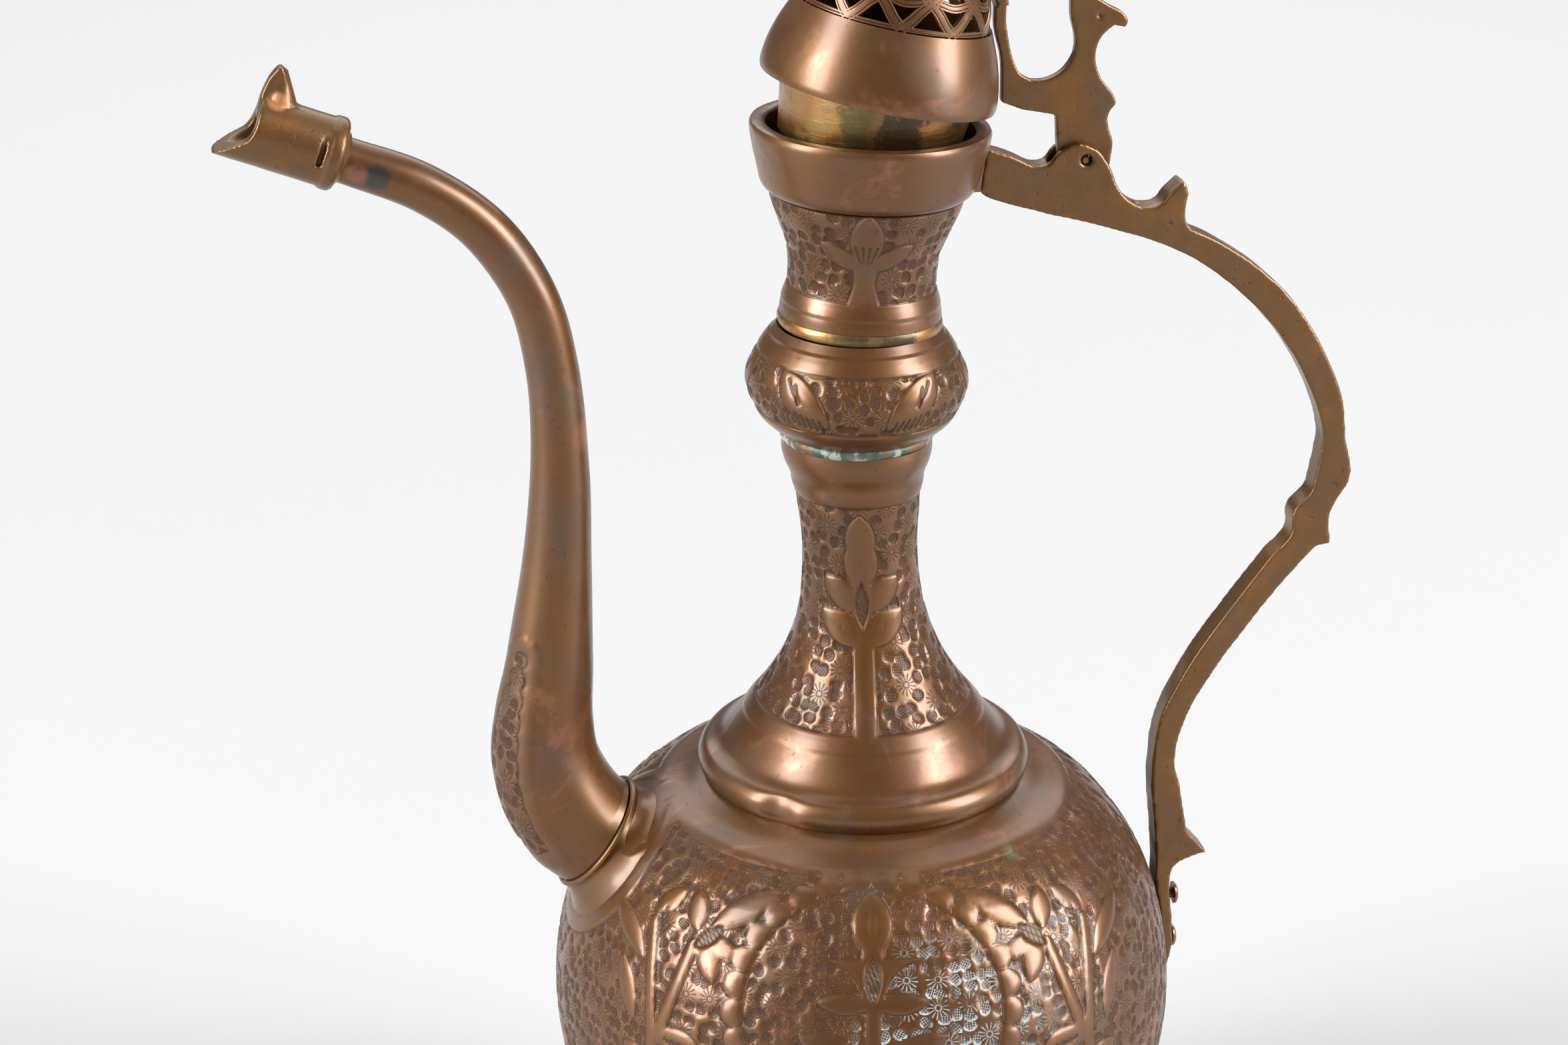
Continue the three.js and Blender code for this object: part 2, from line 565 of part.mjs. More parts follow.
const finialProfile = [
  ...vec2([[0, 38.2], [2, 38.2], [2, 46.2], [3.4, 46.4], [4.4, 47.6], [3.2, 49.4]]),
  ...smooth([[2.6, 51], [5.6, 53.6], [7.2, 57.6], [5.8, 61.6], [3, 64.6], [1.6, 68]], 7),
  ...vec2([[0, 69]]),
];
const finialWasherProfile = vec2([[2.3, 43.4], [7, 43.4], [6.6, 44.8], [4.2, 46], [2.3, 46]]);
const finialNutProfile = vec2([[2.3, 38.6], [5, 38.6], [5, 40.3], [2.3, 40.3]]);

function makeLid() {
  const place = (geometry) => geometry.applyMatrix4(lidPlace);
  return [
    piece('lid_sleeve', place(turned(sleeveProfile, SEGMENTS.neck)), 'brass'),
    piece('lid_band', place(shell(bandOuter, SEGMENTS.neck)), 'copper'),
    piece('lid_dome', place(makeDome()), 'copper_dark'),
    piece('finial_washer', place(turned(finialWasherProfile, SEGMENTS.finial)), 'copper'),
    piece('finial', place(turned(finialProfile, SEGMENTS.finial)), 'copper'),
    piece('finial_nut', place(turned(finialNutProfile, SEGMENTS.finial)), 'brass'),
    piece('hinge_arm', makeHingeArm(), 'cast_brass'),
    ...STRAP_RIVETS.map((seat, i) => {
      const { start, axis, length } = strapRivetAt(seat);
      const mesh = rivet(start, axis, length, `strap_rivet_${i + 1}`);
      mesh.geometry = place(mesh.geometry);
      return mesh;
    }),
  ];
}

const jug = new THREE.Group();
jug.add(...makeFoot(), ...makeBody(), ...makeNeck(), ...makeSpout());
jug.add(piece('handle', makeHandle(), 'cast_brass'), ...makeHandleFittings());
jug.add(...makeLid());

export default jug;
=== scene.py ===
"""Looks for the copper water jug.

The body, neck and spout are chased copper, the lid is pierced, and the handle, the hinge arm and the
spout's head are cast brass. Shapes are drawn in millimetres and turned into metres as each piece is
finished.
"""

import math

import bmesh
import bpy
import numpy as np
from mathutils import Matrix, Vector, noise
from mathutils.kdtree import KDTree


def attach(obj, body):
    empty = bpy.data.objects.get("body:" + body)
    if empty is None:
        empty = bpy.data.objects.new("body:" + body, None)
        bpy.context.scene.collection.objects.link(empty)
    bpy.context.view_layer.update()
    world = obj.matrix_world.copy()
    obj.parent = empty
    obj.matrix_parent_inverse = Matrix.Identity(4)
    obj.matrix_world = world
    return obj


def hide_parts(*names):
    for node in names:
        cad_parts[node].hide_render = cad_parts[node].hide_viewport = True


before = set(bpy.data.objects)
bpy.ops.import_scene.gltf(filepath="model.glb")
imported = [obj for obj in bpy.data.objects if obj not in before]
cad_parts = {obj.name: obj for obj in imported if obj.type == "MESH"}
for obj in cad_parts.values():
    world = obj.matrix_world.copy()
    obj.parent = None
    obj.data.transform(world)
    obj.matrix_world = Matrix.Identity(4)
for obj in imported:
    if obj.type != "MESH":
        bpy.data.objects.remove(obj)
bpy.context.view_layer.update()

MM = 0.001
FRONT = math.radians(-100)  # the side of the jug that carries the main motifs
SHEET = 1.2  # the wall of a sheet piece
BODY_R, BODY_Z = 82.0, 102.5  # radius and height of the centre of the round body
SEAM_LATITUDE = -13.0  # where the bowl meets the shoulder
HINGE = (54.0, 325.8)  # x and z of the lid's pin
NECK_BEND = {"from": 175.0, "x": -2.6, "z": 271.0, "top": 0.044}
LID_OPEN = math.radians(9)
SPOUT_JOINT = np.array([-70.5, 0, 150.2])
SPOUT_AXIS = np.array([0.79, 0, -0.613])
FAR = 4.0  # the distance that a field gives where nothing is drawn
MARK_CODE = 100  # the map of punch marks adds this times a mark's kind, and its number, to its millimetres
OVAL, ROSETTE, LENS = 0, 1, 2  # kinds of punch mark
MARK_TURN = 1.7  # radians from one mark's direction to the next one's


# ---------------------------------------------------------------- shader helpers
class Value:
    """A number socket of a material; an expression on it adds Math nodes."""

    def __init__(self, paint, socket):
        self.paint, self.socket = paint, socket

    def op(self, operation, *others):
        inputs = {0: self, **{i + 1: other for i, other in enumerate(others)}}
        return self.paint.value("Math", {"operation": operation}, inputs)

    def __add__(self, other):
        return self.op("ADD", other)

    def __sub__(self, other):
        return self.op("SUBTRACT", other)

    def __mul__(self, other):
        return self.op("MULTIPLY", other)

    def __truediv__(self, other):
        return self.op("DIVIDE", other)

    def __rsub__(self, other):
        return self.paint.value("Math", {"operation": "SUBTRACT"}, {0: other, 1: self})

    __radd__ = __add__
    __rmul__ = __mul__

    def __neg__(self):
        return self * -1

    def __abs__(self):
        return self.op("ABSOLUTE")

    def sine(self):
        return self.op("SINE")

    def floor(self):
        return self.op("FLOOR")

    def power(self, exponent):
        return self.op("POWER", exponent)

    def most(self, other):
        return self.op("MAXIMUM", other)

    def least(self, other):
        return self.op("MINIMUM", other)

    def rise(self, low, high):
        """0 below low, 1 above high, smooth between; low may be above high."""
        settings = {"interpolation_type": "SMOOTHSTEP"}
        if low > high:
            return 1 - self.rise(high, low)
        return self.paint.value("MapRange", settings, {0: self, 1: low, 2: high})


class Paint:
    """One metal finish on a Principled shader."""

    def __init__(self, name, constants=None):
        self.material = bpy.data.materials.new(name)
        self.material.use_nodes = True
        self.tree = self.material.node_tree
        self.tree.nodes.clear()
        self.shader = self.node("BsdfPrincipled", {}, constants or {})
        self.node("OutputMaterial", {}, {"Surface": self.shader.outputs[0]})
        self.place = self.node("TexCoord").outputs["Object"]

    def node(self, kind, settings=None, inputs=None):
        made = self.tree.nodes.new("ShaderNode" + kind)
        for name, value in (settings or {}).items():
            setattr(made, name, value)
        for name, value in (inputs or {}).items():
            socket = made.inputs[name.replace("_", " ") if isinstance(name, str) else name]
            if isinstance(value, Value):
                value = value.socket
            if isinstance(value, bpy.types.NodeSocket):
                self.tree.links.new(value, socket)
            else:
                socket.default_value = value
        return made

    def value(self, kind, settings, inputs, output=0):
        return Value(self, self.node(kind, settings, inputs).outputs[output])

    def cloud(self, size, detail=3, roughness=0.55, distortion=0.0, stretch=None):
        """Noise from 0 to 1 whose blotches are about size millimetres across."""
        place = self.place
        if stretch:
            place = self.node("Mapping", {}, {"Vector": place, "Scale": stretch}).outputs[0]
        inputs = {"Vector": place, "Scale": 0.6 / (size * MM), "Detail": detail}
        inputs.update(Roughness=roughness, Distortion=distortion)
        return self.value("TexNoise", {}, inputs)

    def attribute(self, name):
        return self.value("Attribute", {"attribute_name": name}, {}, "Fac")

    def split(self, vector, *places):
        parts = self.node("SeparateXYZ", {}, {0: vector})
        return [Value(self, parts.outputs[i]) for i in places]

    def edge(self):
        """Above 0.5 on edges and below it in hollows."""
        return Value(self, self.node("NewGeometry").outputs["Pointiness"])

    def near(self, point, reach, fade):
        """1 within reach of a point, 0 beyond reach + fade, all in millimetres."""
        inputs = {0: self.place, 1: [c * MM for c in point]}
        away = self.value("VectorMath", {"operation": "DISTANCE"}, inputs, "Value")
        return away.rise((reach + fade) * MM, reach * MM)

    def mix(self, share, first, second):
        colours = [c if isinstance(c, bpy.types.NodeSocket) else (*c, 1) for c in (first, second)]
        inputs = {0: share, 6: colours[0], 7: colours[1]}
        return self.node("Mix", {"data_type": "RGBA"}, inputs).outputs[2]

    def finish(self, colour, roughness, metallic, height, **others):
        """height is in millimetres; others are sockets of the shader by name."""
        bump = {"Height": height, "Distance": MM, "Strength": 1.0}
        normal = self.node("Bump", {}, bump).outputs[0]
        inputs = {"Base Color": colour, "Roughness": roughness, "Metallic": metallic, "Normal": normal}
        inputs.update(others)
        for name, value in inputs.items():
            if isinstance(value, Value):
                value = value.socket
            if isinstance(value, bpy.types.NodeSocket):
                self.tree.links.new(value, self.shader.inputs[name])
            else:
                self.shader.inputs[name].default_value = value
        return self.material


# ---------------------------------------------------------------- metals
BROWN = (0.120, 0.049, 0.015)
OCHRE = (0.138, 0.057, 0.012)
GREY_BROWN = (0.098, 0.056, 0.032)
DARK_BROWN = (0.09, 0.042, 0.020)
BARE = (0.26, 0.105, 0.056)
WINE = (0.15, 0.045, 0.035)
# Dark specks of soot, and the painted shade of the punched recesses and cut lines.
SOOT_AND_SHADE = (0.032, 0.015, 0.009)
# Bluish white of the chalk in the punch marks and of the painted glints on their rims.
CHALK_AND_GLINT_WHITE = (0.42, 0.49, 0.50)
GREEN = (0.09, 0.13, 0.075)
MALACHITE = (0.08, 0.16, 0.08)
LEAD = (0.035, 0.038, 0.036)
FILM = {"Coat Weight": 0.52, "Coat Roughness": 0.24, "Coat IOR": 1.5}  # the thin clear skin of old patina
COPPER_SHINE = 0.62  # how metallic the copper is under its patina

# Single spots: centre, reach and fade in millimetres.
LEAD_SPOT = ((-119.8, -5.4, 330.6), 2.3, 1.6)
RUBBED_SPOTS = (((-124.6, -5, 331.6), 1.6, 2), ((-72, -3, 262), 1.5, 4))
GREEN_SPOT = ((29, -47, 160.5), 1.2, 2.4)
# Patches of chalk, and of painted glints, in the punch marks by the medallion.
CHALK_AND_GLINT_SPOTS = (((10, -75, 124), 17, 15), ((44, -60, 146), 5, 12))
NOTCH_SPOT = ((-142.1, -3.2, 349.3), 1.5, 1.6)


def copper_tones(paint):
    """Brown patina with ochre, greyish and bare reddish patches: (colour, roughness)."""
    warm = paint.cloud(26, 4, 0.6).rise(0.42, 0.62)
    grey = paint.cloud(17, 5, 0.62, 0.4).rise(0.5, 0.68)
    bare = paint.cloud(11, 6, 0.66, 0.6).rise(0.55, 0.70)
    speck = paint.cloud(1.1, 2, 0.5).rise(0.66, 0.76)
    colour = paint.mix(warm, BROWN, OCHRE)
    colour = paint.mix(grey * 0.75, colour, GREY_BROWN)
    colour = paint.mix(bare * 0.7, colour, BARE)
    colour = paint.mix(speck * 0.45, colour, SOOT_AND_SHADE)
    rough = 0.40 + grey * 0.10 - bare * 0.08 + speck * 0.15 + (paint.cloud(4, 4) - 0.5) * 0.14
    return colour, rough


def fine_marks(paint):
    """Height in millimetres of small knocks and rubbing that every copper sheet carries."""
    knocks = paint.cloud(7, 3, 0.5).rise(0.62, 0.8) * -0.05
    rub = (paint.cloud(0.7, 3, 0.7) - 0.5) * 0.012
    return knocks + rub + (paint.cloud(12, 2, 0.5) - 0.5) * 0.10


def make_sheet_copper():
    paint = Paint("sheet_copper", FILM)
    colour, rough = copper_tones(paint)
    stain = paint.cloud(3.2, 4, 0.7).rise(0.62, 0.8) * paint.cloud(30, 2).rise(0.5, 0.66)
    colour = paint.mix(stain * 0.6, colour, GREEN)
    return paint.finish(colour, rough, COPPER_SHINE - stain * 0.4, fine_marks(paint))


def cut_lines(across, pitch, width):
    """1 on evenly spaced cut lines; across is measured square to them in millimetres."""
    return abs((across * pitch).sine()).rise(width, 0.1)


def punch_mark(paint):
    """Where a point lies on its punch mark, and which mark that is: (x, y, kind, number)."""
    u, v = paint.split(paint.node("UVMap", {"uv_map": "punch"}).outputs[0], 0, 1)
    kind = (u / MARK_CODE + 0.5).floor()
    number = (v / MARK_CODE + 0.5).floor()
    return u - kind * MARK_CODE, v - number * MARK_CODE, kind, number


def oval_mark(paint, x, y, number):
    """(distance from the middle of an oval, its crossed lines)."""
    turn = number * MARK_TURN
    sine, cosine = turn.sine(), (turn + math.pi / 2).sine()
    across = x * sine + y * cosine
    along = x * cosine - y * sine
    ragged = (paint.cloud(1.6, 1) - 0.5) * 0.5
    reach = (across * across * 1.4 + along * along * 0.8).power(0.5) + ragged
    return reach, cut_lines(across, 5.2, 0.55).most(cut_lines(along, 4.4, 0.5))


def lens_lines(paint):
    """The crossed lines that fill a lens inside a motif."""
    east, high = (place / MM for place in paint.split(paint.place, 0, 2))
    return cut_lines(east + high * 0.35, 2.9, 0.5).most(cut_lines(high + east * 0.6, 2.3, 0.4))


def rosette_mark(x, y, number):
    """Short strokes round a small ring."""
    r = (x * x + y * y).power(0.5)
    spokes = (y.op("ARCTAN2", x) * 13 + number * MARK_TURN).sine().rise(0.25, 0.85)
    ring = abs(r - 0.78).rise(0.22, 0.08)
    return (spokes * r.rise(0.95, 1.2) * r.rise(3.3, 2.5)).most(ring)


def chalk_and_glint_patches(paint):
    """Where white is painted in the punch marks round the medallion: chalk left in the cuts, and painted
    glints on the ovals' lower rims.
    """
    blotch = paint.cloud(3.4, 2)
    first, second = (paint.near(*spot) for spot in CHALK_AND_GLINT_SPOTS)
    patches = (first * blotch.rise(0.36, 0.52)).most(second * blotch.rise(0.46, 0.6))
    return patches * paint.cloud(0.7, 2).rise(0.25, 0.5)


def spotted(paint, colour):
    """Adds lead and bare copper to the spout and a green spot to the shoulder: (colour, green)."""
    neck, bend = (paint.near(*spot) for spot in RUBBED_SPOTS)
    rubbed = neck.most(bend).least(paint.cloud(3, 3).rise(0.3, 0.5))
    colour = paint.mix(paint.near(*LEAD_SPOT) * 0.9, colour, LEAD)
    colour = paint.mix(rubbed * 0.8, colour, BARE)
    green = paint.near(*GREEN_SPOT) * paint.cloud(1.4, 3).rise(0.35, 0.6)
    return paint.mix(green * 0.85, colour, MALACHITE), green


def make_chased_copper():
    """Motifs stand on a ground that is punched all over with hatched ovals and rosettes.

    The attribute "motif" is the distance in millimetres from a motif's outline, negative on the motif.
    The map "punch" holds millimetres from the centre of the nearest punch mark, with the kind of mark
    and its number added in hundreds.
    """
    paint = Paint("chased_copper", FILM)
    colour, rough = copper_tones(paint)
    motif, stroke = paint.attribute("motif"), paint.attribute("stroke")
    x, y, kind, number = punch_mark(paint)
    ground = motif.rise(0.15, 0.4)
    lens = kind.op("GREATER_THAN", (ROSETTE + LENS) / 2)
    rosette = kind.op("COMPARE", ROSETTE, 0.5)
    oval = 1 - rosette.most(lens)

    reach, hatch = oval_mark(paint, x, y, number)
    hatch = hatch + (lens_lines(paint) - hatch) * lens
    inside = (reach.rise(1.72, 1.42) * oval).most(lens) * ground
    flower = rosette_mark(x, y, number) * rosette * ground
    # outline: the groove round each motif; its darkening below is painted shade under the relief step.
    outline = abs(motif - 0.22).rise(0.34, 0.12)
    strokes = stroke.rise(0.3, 0.0)
    cut = (outline * 0.6).most(strokes * 0.85).most(flower * 0.8)
    recess = cut.most(inside * (0.5 + hatch * 0.5))

    grime_and_shade = paint.cloud(9, 3).rise(0.25, 0.6) * 0.35 + 0.6
    # Cuts and punched ovals are darkened: partly dark patina left in the punch marks, partly painted shade in
    # the recesses and under the motifs' edges.
    colour = paint.mix(recess * grime_and_shade * 0.9, colour, SOOT_AND_SHADE)
    red = paint.cloud(15, 3).rise(0.5, 0.7) * inside * (1 - hatch)
    colour = paint.mix(red * 0.45, colour, WINE)
    # Painted highlight: a glint on the lower rim of each oval, where the rim faces up to the light.
    glint_crescent = reach.rise(1.05, 1.4) * reach.rise(1.95, 1.65) * y.rise(0.2, -0.7) * oval * ground
    # White: chalk in the hatching and the rosettes, together with the painted glints on the rims.
    white = chalk_and_glint_patches(paint) * (hatch * inside).most(glint_crescent).most(flower * 0.7)
    colour = paint.mix(white * 0.95, colour, CHALK_AND_GLINT_WHITE)
    colour, green = spotted(paint, colour)

    height = inside * (hatch * -0.10 - 0.12) - flower * 0.10 - outline * 0.16 - strokes * 0.2
    rough = rough + recess * 0.22 + white * 0.2
    metallic = COPPER_SHINE - recess * 0.2 - white.most(green) * 0.4
    film = FILM["Coat Weight"] - recess.most(inside * 0.75) * 0.44
    return paint.finish(colour, rough, metallic, height + fine_marks(paint), **{"Coat Weight": film})


def make_dark_copper():
    paint = Paint("dark_copper", FILM)
    colour, rough = copper_tones(paint)
    colour = paint.mix(0.35, colour, DARK_BROWN)
    worn = paint.edge().rise(0.52, 0.6)
    colour = paint.mix(worn * 0.7, colour, BARE)
    return paint.finish(colour, rough + 0.02 - worn * 0.08, 0.66, fine_marks(paint))


def make_cast_brass():
    paint = Paint("cast_brass", {**FILM, "Coat Weight": 0.42})
    olive, ochre, dark = (0.132, 0.060, 0.015), (0.195, 0.079, 0.010), (0.022, 0.015, 0.009)
    dull, rubbed, coppery = (0.100, 0.063, 0.034), (0.22, 0.115, 0.040), (0.55, 0.25, 0.11)
    warm = paint.cloud(18, 5, 0.65, 0.5).rise(0.46, 0.66)
    grey = paint.cloud(8, 5, 0.65).rise(0.52, 0.7)
    pits = paint.cloud(0.9, 2, 0.5).rise(0.64, 0.76)
    edge = paint.edge()
    worn, hollow = edge.rise(0.515, 0.57), edge.rise(0.49, 0.44)
    colour = paint.mix(warm * 0.75, olive, ochre)
    colour = paint.mix(grey * 0.5, colour, dull)
    colour = paint.mix(worn * 0.55, colour, rubbed)
    colour = paint.mix(paint.near(*NOTCH_SPOT) * 0.9, colour, coppery)
    # Casting pits are darkened, and the hollows are darkened as painted shade.
    colour = paint.mix((pits * 0.6).most(hollow * 0.7), colour, dark)
    height = pits * -0.08 + (paint.cloud(2.4, 4, 0.65) - 0.5) * 0.10 + (paint.cloud(14, 2) - 0.5) * 0.25
    rough = 0.44 + grey * 0.12 - worn * 0.12 + pits * 0.2
    return paint.finish(colour, rough, 0.64, height)


def make_sheet_brass():
    """Brass of the lid's sleeve, tarnished, in upright bands from west to east: golden bands left and right
    of the middle are painted highlights, and between them lie a mossy band and a duller middle.
    """
    paint = Paint("sheet_brass", FILM)
    gold, tarnish, olive = (0.40, 0.205, 0.062), (0.055, 0.033, 0.015), (0.13, 0.11, 0.030)
    scratched, spotty = (0.50, 0.30, 0.13), (0.10, 0.08, 0.05)
    dull = paint.cloud(15, 4, 0.6).rise(0.42, 0.56)
    green = paint.cloud(8, 4, 0.6).rise(0.56, 0.68)
    scratch = paint.cloud(1.2, 3, 0.7, 0, (0.25, 0.25, 2.2)).rise(0.5, 0.66)
    spot = paint.cloud(1.4, 2).rise(0.66, 0.74)
    blur = (paint.cloud(5, 5, 0.75) - 0.5) * 24
    east = paint.split(paint.place, 0)[0] / MM + blur
    # Painted highlights: two upright golden bands, left and right of the middle, fixed in place from west to
    # east.
    painted_highlight_bands = (east.rise(-23, -18) * east.rise(-8, -13)).most(east.rise(8, 12) * east.rise(19, 14) * 0.8)
    moss = east.rise(-14, -9) * east.rise(-2, -7)
    dull = (0.35 + dull * 0.65).most(east.rise(-6, 0) * east.rise(11, 7)) * (1 - painted_highlight_bands * 0.9)
    colour = paint.mix(dull * 0.95, gold, tarnish)
    colour = paint.mix((green * 0.5).most(moss * 0.8), colour, olive)
    colour = paint.mix(scratch * (1 - dull) * 0.35, colour, scratched)
    colour = paint.mix(spot * 0.6, colour, spotty)
    rough = 0.34 + dull * 0.16 + green * 0.1
    return paint.finish(colour, rough, 0.94 - green * 0.25, scratch * 0.02 + fine_marks(paint))


def make_solder():
    paint = Paint("solder")
    grey, chalk, blue = (0.22, 0.21, 0.16), (0.45, 0.48, 0.43), (0.07, 0.11, 0.095)
    coppery = (0.20, 0.095, 0.045)
    colour = paint.mix(paint.cloud(6, 3).rise(0.42, 0.6), grey, blue)
    white = paint.cloud(1.6, 3).rise(0.5, 0.6)
    colour = paint.mix(white * 0.75, colour, chalk)
    colour = paint.mix(paint.cloud(9, 3).rise(0.55, 0.65) * 0.8, colour, coppery)
    height = (paint.cloud(1.3, 3) - 0.5) * 0.25
    return paint.finish(colour, 0.5 + white * 0.2, 0.65 - white * 0.4, height)


SHEET_COPPER = make_sheet_copper()
CHASED_COPPER = make_chased_copper()
DARK_COPPER = make_dark_copper()
CAST_BRASS = make_cast_brass()
SHEET_BRASS = make_sheet_brass()
SOLDER = make_solder()


# ---------------------------------------------------------------- lines
def smooth_line(points, step):
    """A centripetal Catmull-Rom line through the points, sampled about every step millimetres."""
    points = np.array(points, float)
    if len(points) < 3:
        count = max(2, int(np.linalg.norm(points[-1] - points[0]) / step) + 1)
        return points[0] + (points[-1] - points[0]) * np.linspace(0, 1, count)[:, None]
    ends = np.vstack([2 * points[0] - points[1], points, 2 * points[-1] - points[-2]])
    parts = []
    for a, b, c, d in zip(ends, ends[1:], ends[2:], ends[3:]):
        t1 = np.linalg.norm(b - a) ** 0.5
        t2 = t1 + np.linalg.norm(c - b) ** 0.5
        t3 = t2 + np.linalg.norm(d - c) ** 0.5
        t = np.linspace(t1, t2, 24, endpoint=False)[:, None]
        a1 = a + (b - a) * t / t1
        a2 = b + (c - b) * (t - t1) / (t2 - t1)
        a3 = c + (d - c) * (t - t2) / (t3 - t2)
        b1 = a1 + (a2 - a1) * t / t2
        b2 = a2 + (a3 - a2) * (t - t1) / (t3 - t1)
        parts.append(b1 + (b2 - b1) * (t - t1) / (t2 - t1))
    dense = np.vstack([*parts, points[-1:]])
    return resample(dense, step)


def lengths(line):
    """How far along the line each of its points lies."""
    return np.concatenate([[0], np.cumsum(np.linalg.norm(np.diff(line, axis=0), axis=1))])


def resample(line, step):
    s = lengths(line)
    at = np.linspace(0, s[-1], max(2, int(round(s[-1] / step)) + 1))
    return np.stack([np.interp(at, s, line[:, i]) for i in range(line.shape[1])], axis=1)


def rounded(corners, radius=0.5, steps=4):
    """The closed line through the corners, each one rounded off."""
    corners = [Vector(c) for c in corners]
    line = []
    for i, corner in enumerate(corners):
        before, after = corners[i - 1] - corner, corners[(i + 1) % len(corners)] - corner
        start = corner + before.normalized() * min(radius, before.length * 0.4)
        end = corner + after.normalized() * min(radius, after.length * 0.4)
        for k in range(steps + 1):
            t = k / steps
            line.append(tuple((1 - t) ** 2 * start + 2 * t * (1 - t) * corner + t * t * end))
    return line


def arc(radius, centre_z, low, high, step):
    count = max(2, int(abs(math.radians(high - low)) * radius / step) + 1)
    angle = np.radians(np.linspace(low, high, count))
    return np.stack([radius * np.cos(angle), centre_z + radius * np.sin(angle)], axis=1)


def unit(vectors):
    return vectors / np.linalg.norm(vectors, axis=1)[:, None]


def from_axis(co):
    """Distance of each point from the Z axis."""
    return np.hypot(co[:, 0], co[:, 1])


def smoothstep(low, high, x):
    t = np.clip((x - low) / (high - low), 0, 1)
    return t * t * (3 - 2 * t)


# ---------------------------------------------------------------- placing
def straight(co):
    return co


def leaning(co):
    moved = co.copy()
    moved[:, 0] += NECK_BEND["x"] * smoothstep(NECK_BEND["from"], NECK_BEND["z"], co[:, 2])
    return moved


def tilted(share):
    """The neck above the knop leans; share is 0.5 on the knop and 1 above it."""
    x, z = NECK_BEND["x"], NECK_BEND["z"]
    turn = Matrix.Rotation(NECK_BEND["top"] * share, 4, "Y")
    return Matrix.Translation((x, 0, z)) @ turn @ Matrix.Translation((0, 0, -z))


def lid_matrix():
    at = Vector((HINGE[0], 0, HINGE[1]))
    opened = Matrix.Translation(at) @ Matrix.Rotation(LID_OPEN, 4, "Y") @ Matrix.Translation(-at)
    return opened @ tilted(1) @ Matrix.Translation((-0.8, 0, 337.3))


def by_matrix(matrix):
    turn = np.array(matrix, float)
    return lambda co: co @ turn[:3, :3].T + turn[:3, 3]


ON_LID = lid_matrix()
on_lid = by_matrix(ON_LID)
on_neck_top = by_matrix(tilted(1))
on_knop = by_matrix(tilted(0.5))


class Route:
    """A line in the XZ plane along which a turned shape is bent."""

    def __init__(self, points):
        self.line = smooth_line(points, 0.5)
        self.s = lengths(self.line)
        self.length = self.s[-1]
        self.along = unit(np.gradient(self.line, axis=0))

    def bend(self, co):
        s = np.clip(co[:, 2], 0, self.length)
        x, z = (np.interp(s, self.s, self.line[:, i]) for i in (0, 1))
        tx, tz = (np.interp(s, self.s, self.along[:, i]) for i in (0, 1))
        return np.stack([x + tz * co[:, 0], co[:, 1], z - tx * co[:, 0]], axis=1)


# ---------------------------------------------------------------- meshes
TINY = 1e-6
WALL = -1  # the mark of points that are not on a piece's outer line


def show(name, bm, material, body, *nodes, sharp=35):
    """Makes a finished piece of a bmesh whose coordinates are already in metres."""
    mesh = bpy.data.meshes.new(name)
    limit = math.radians(sharp)
    for face in bm.faces:
        face.smooth = True
    for edge in bm.edges:
        if len(edge.link_faces) == 2 and edge.calc_face_angle(0) > limit:
            edge.smooth = False
    bm.to_mesh(mesh)
    bm.free()
    mesh.materials.append(material)
    piece = bpy.data.objects.new(name, mesh)
    bpy.context.scene.collection.objects.link(piece)
    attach(piece, body)
    if nodes:
        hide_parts(*nodes)
    return piece


def coordinates(bm):
    """The places of the bmesh's points as an array."""
    return np.array([v.co for v in bm.verts], float)


def put(bm, co):
    for vert, place in zip(bm.verts, co):
        vert.co = place


def spun(profile, segments, marks=None):
    """Spins a closed (radius, height) profile about Z.

    A profile that starts and ends on Z stays open there. The marks are kept on the points as "rise".
    """
    bm = bmesh.new()
    layer = bm.verts.layers.float.new("rise")
    verts = [bm.verts.new((r, 0, z)) for r, z in profile]
    for vert, mark in zip(verts, marks or [WALL] * len(verts)):
        vert[layer] = mark
    edges = [bm.edges.new(pair) for pair in zip(verts, verts[1:])]
    if profile[0][0] > 1e-6:
        edges.append(bm.edges.new((verts[-1], verts[0])))
    bmesh.ops.spin(
        bm, geom=verts + edges, cent=(0, 0, 0), axis=(0, 0, 1), angle=math.tau, steps=segments,
        use_merge=True,
    )
    bmesh.ops.remove_doubles(bm, verts=bm.verts, dist=1e-4)
    bmesh.ops.recalc_face_normals(bm, faces=bm.faces)
    return bm


def wobble(co, amount, seed):
    """Pushes a turned shape in and out a little, as hand work does."""
    shift = np.array([noise.noise(Vector(p) / 21 + Vector((seed, 0, 0))) for p in co])
    radius = np.maximum(from_axis(co), TINY)
    moved = co.copy()
    moved[:, :2] *= (1 + amount * shift / radius)[:, None]
    return moved


def turned(name, profile, segments, material, place, body, *nodes, uneven=0.15):
    """A piece of revolution, a little uneven, put in its place."""
    bm = spun(profile, segments)
    co = wobble(coordinates(bm), uneven, len(name))
    put(bm, place(co) * MM)
    return show(name, bm, material, body, *nodes)


def sheet_profile(outer, thickness=SHEET, coarse=6):
    """(outer line bottom to top, sparser inner line back down)."""
    line = np.array(outer, float)
    inner = line[::coarse] if (len(line) - 1) % coarse == 0 else np.vstack([line[::coarse], line[-1:]])
    along = unit(np.gradient(inner, axis=0))
    inner = inner + np.stack([-along[:, 1], along[:, 0]], axis=1) * thickness
    return line, inner[::-1]


def closed(line, inner):
    return [*map(tuple, line), *map(tuple, inner)]


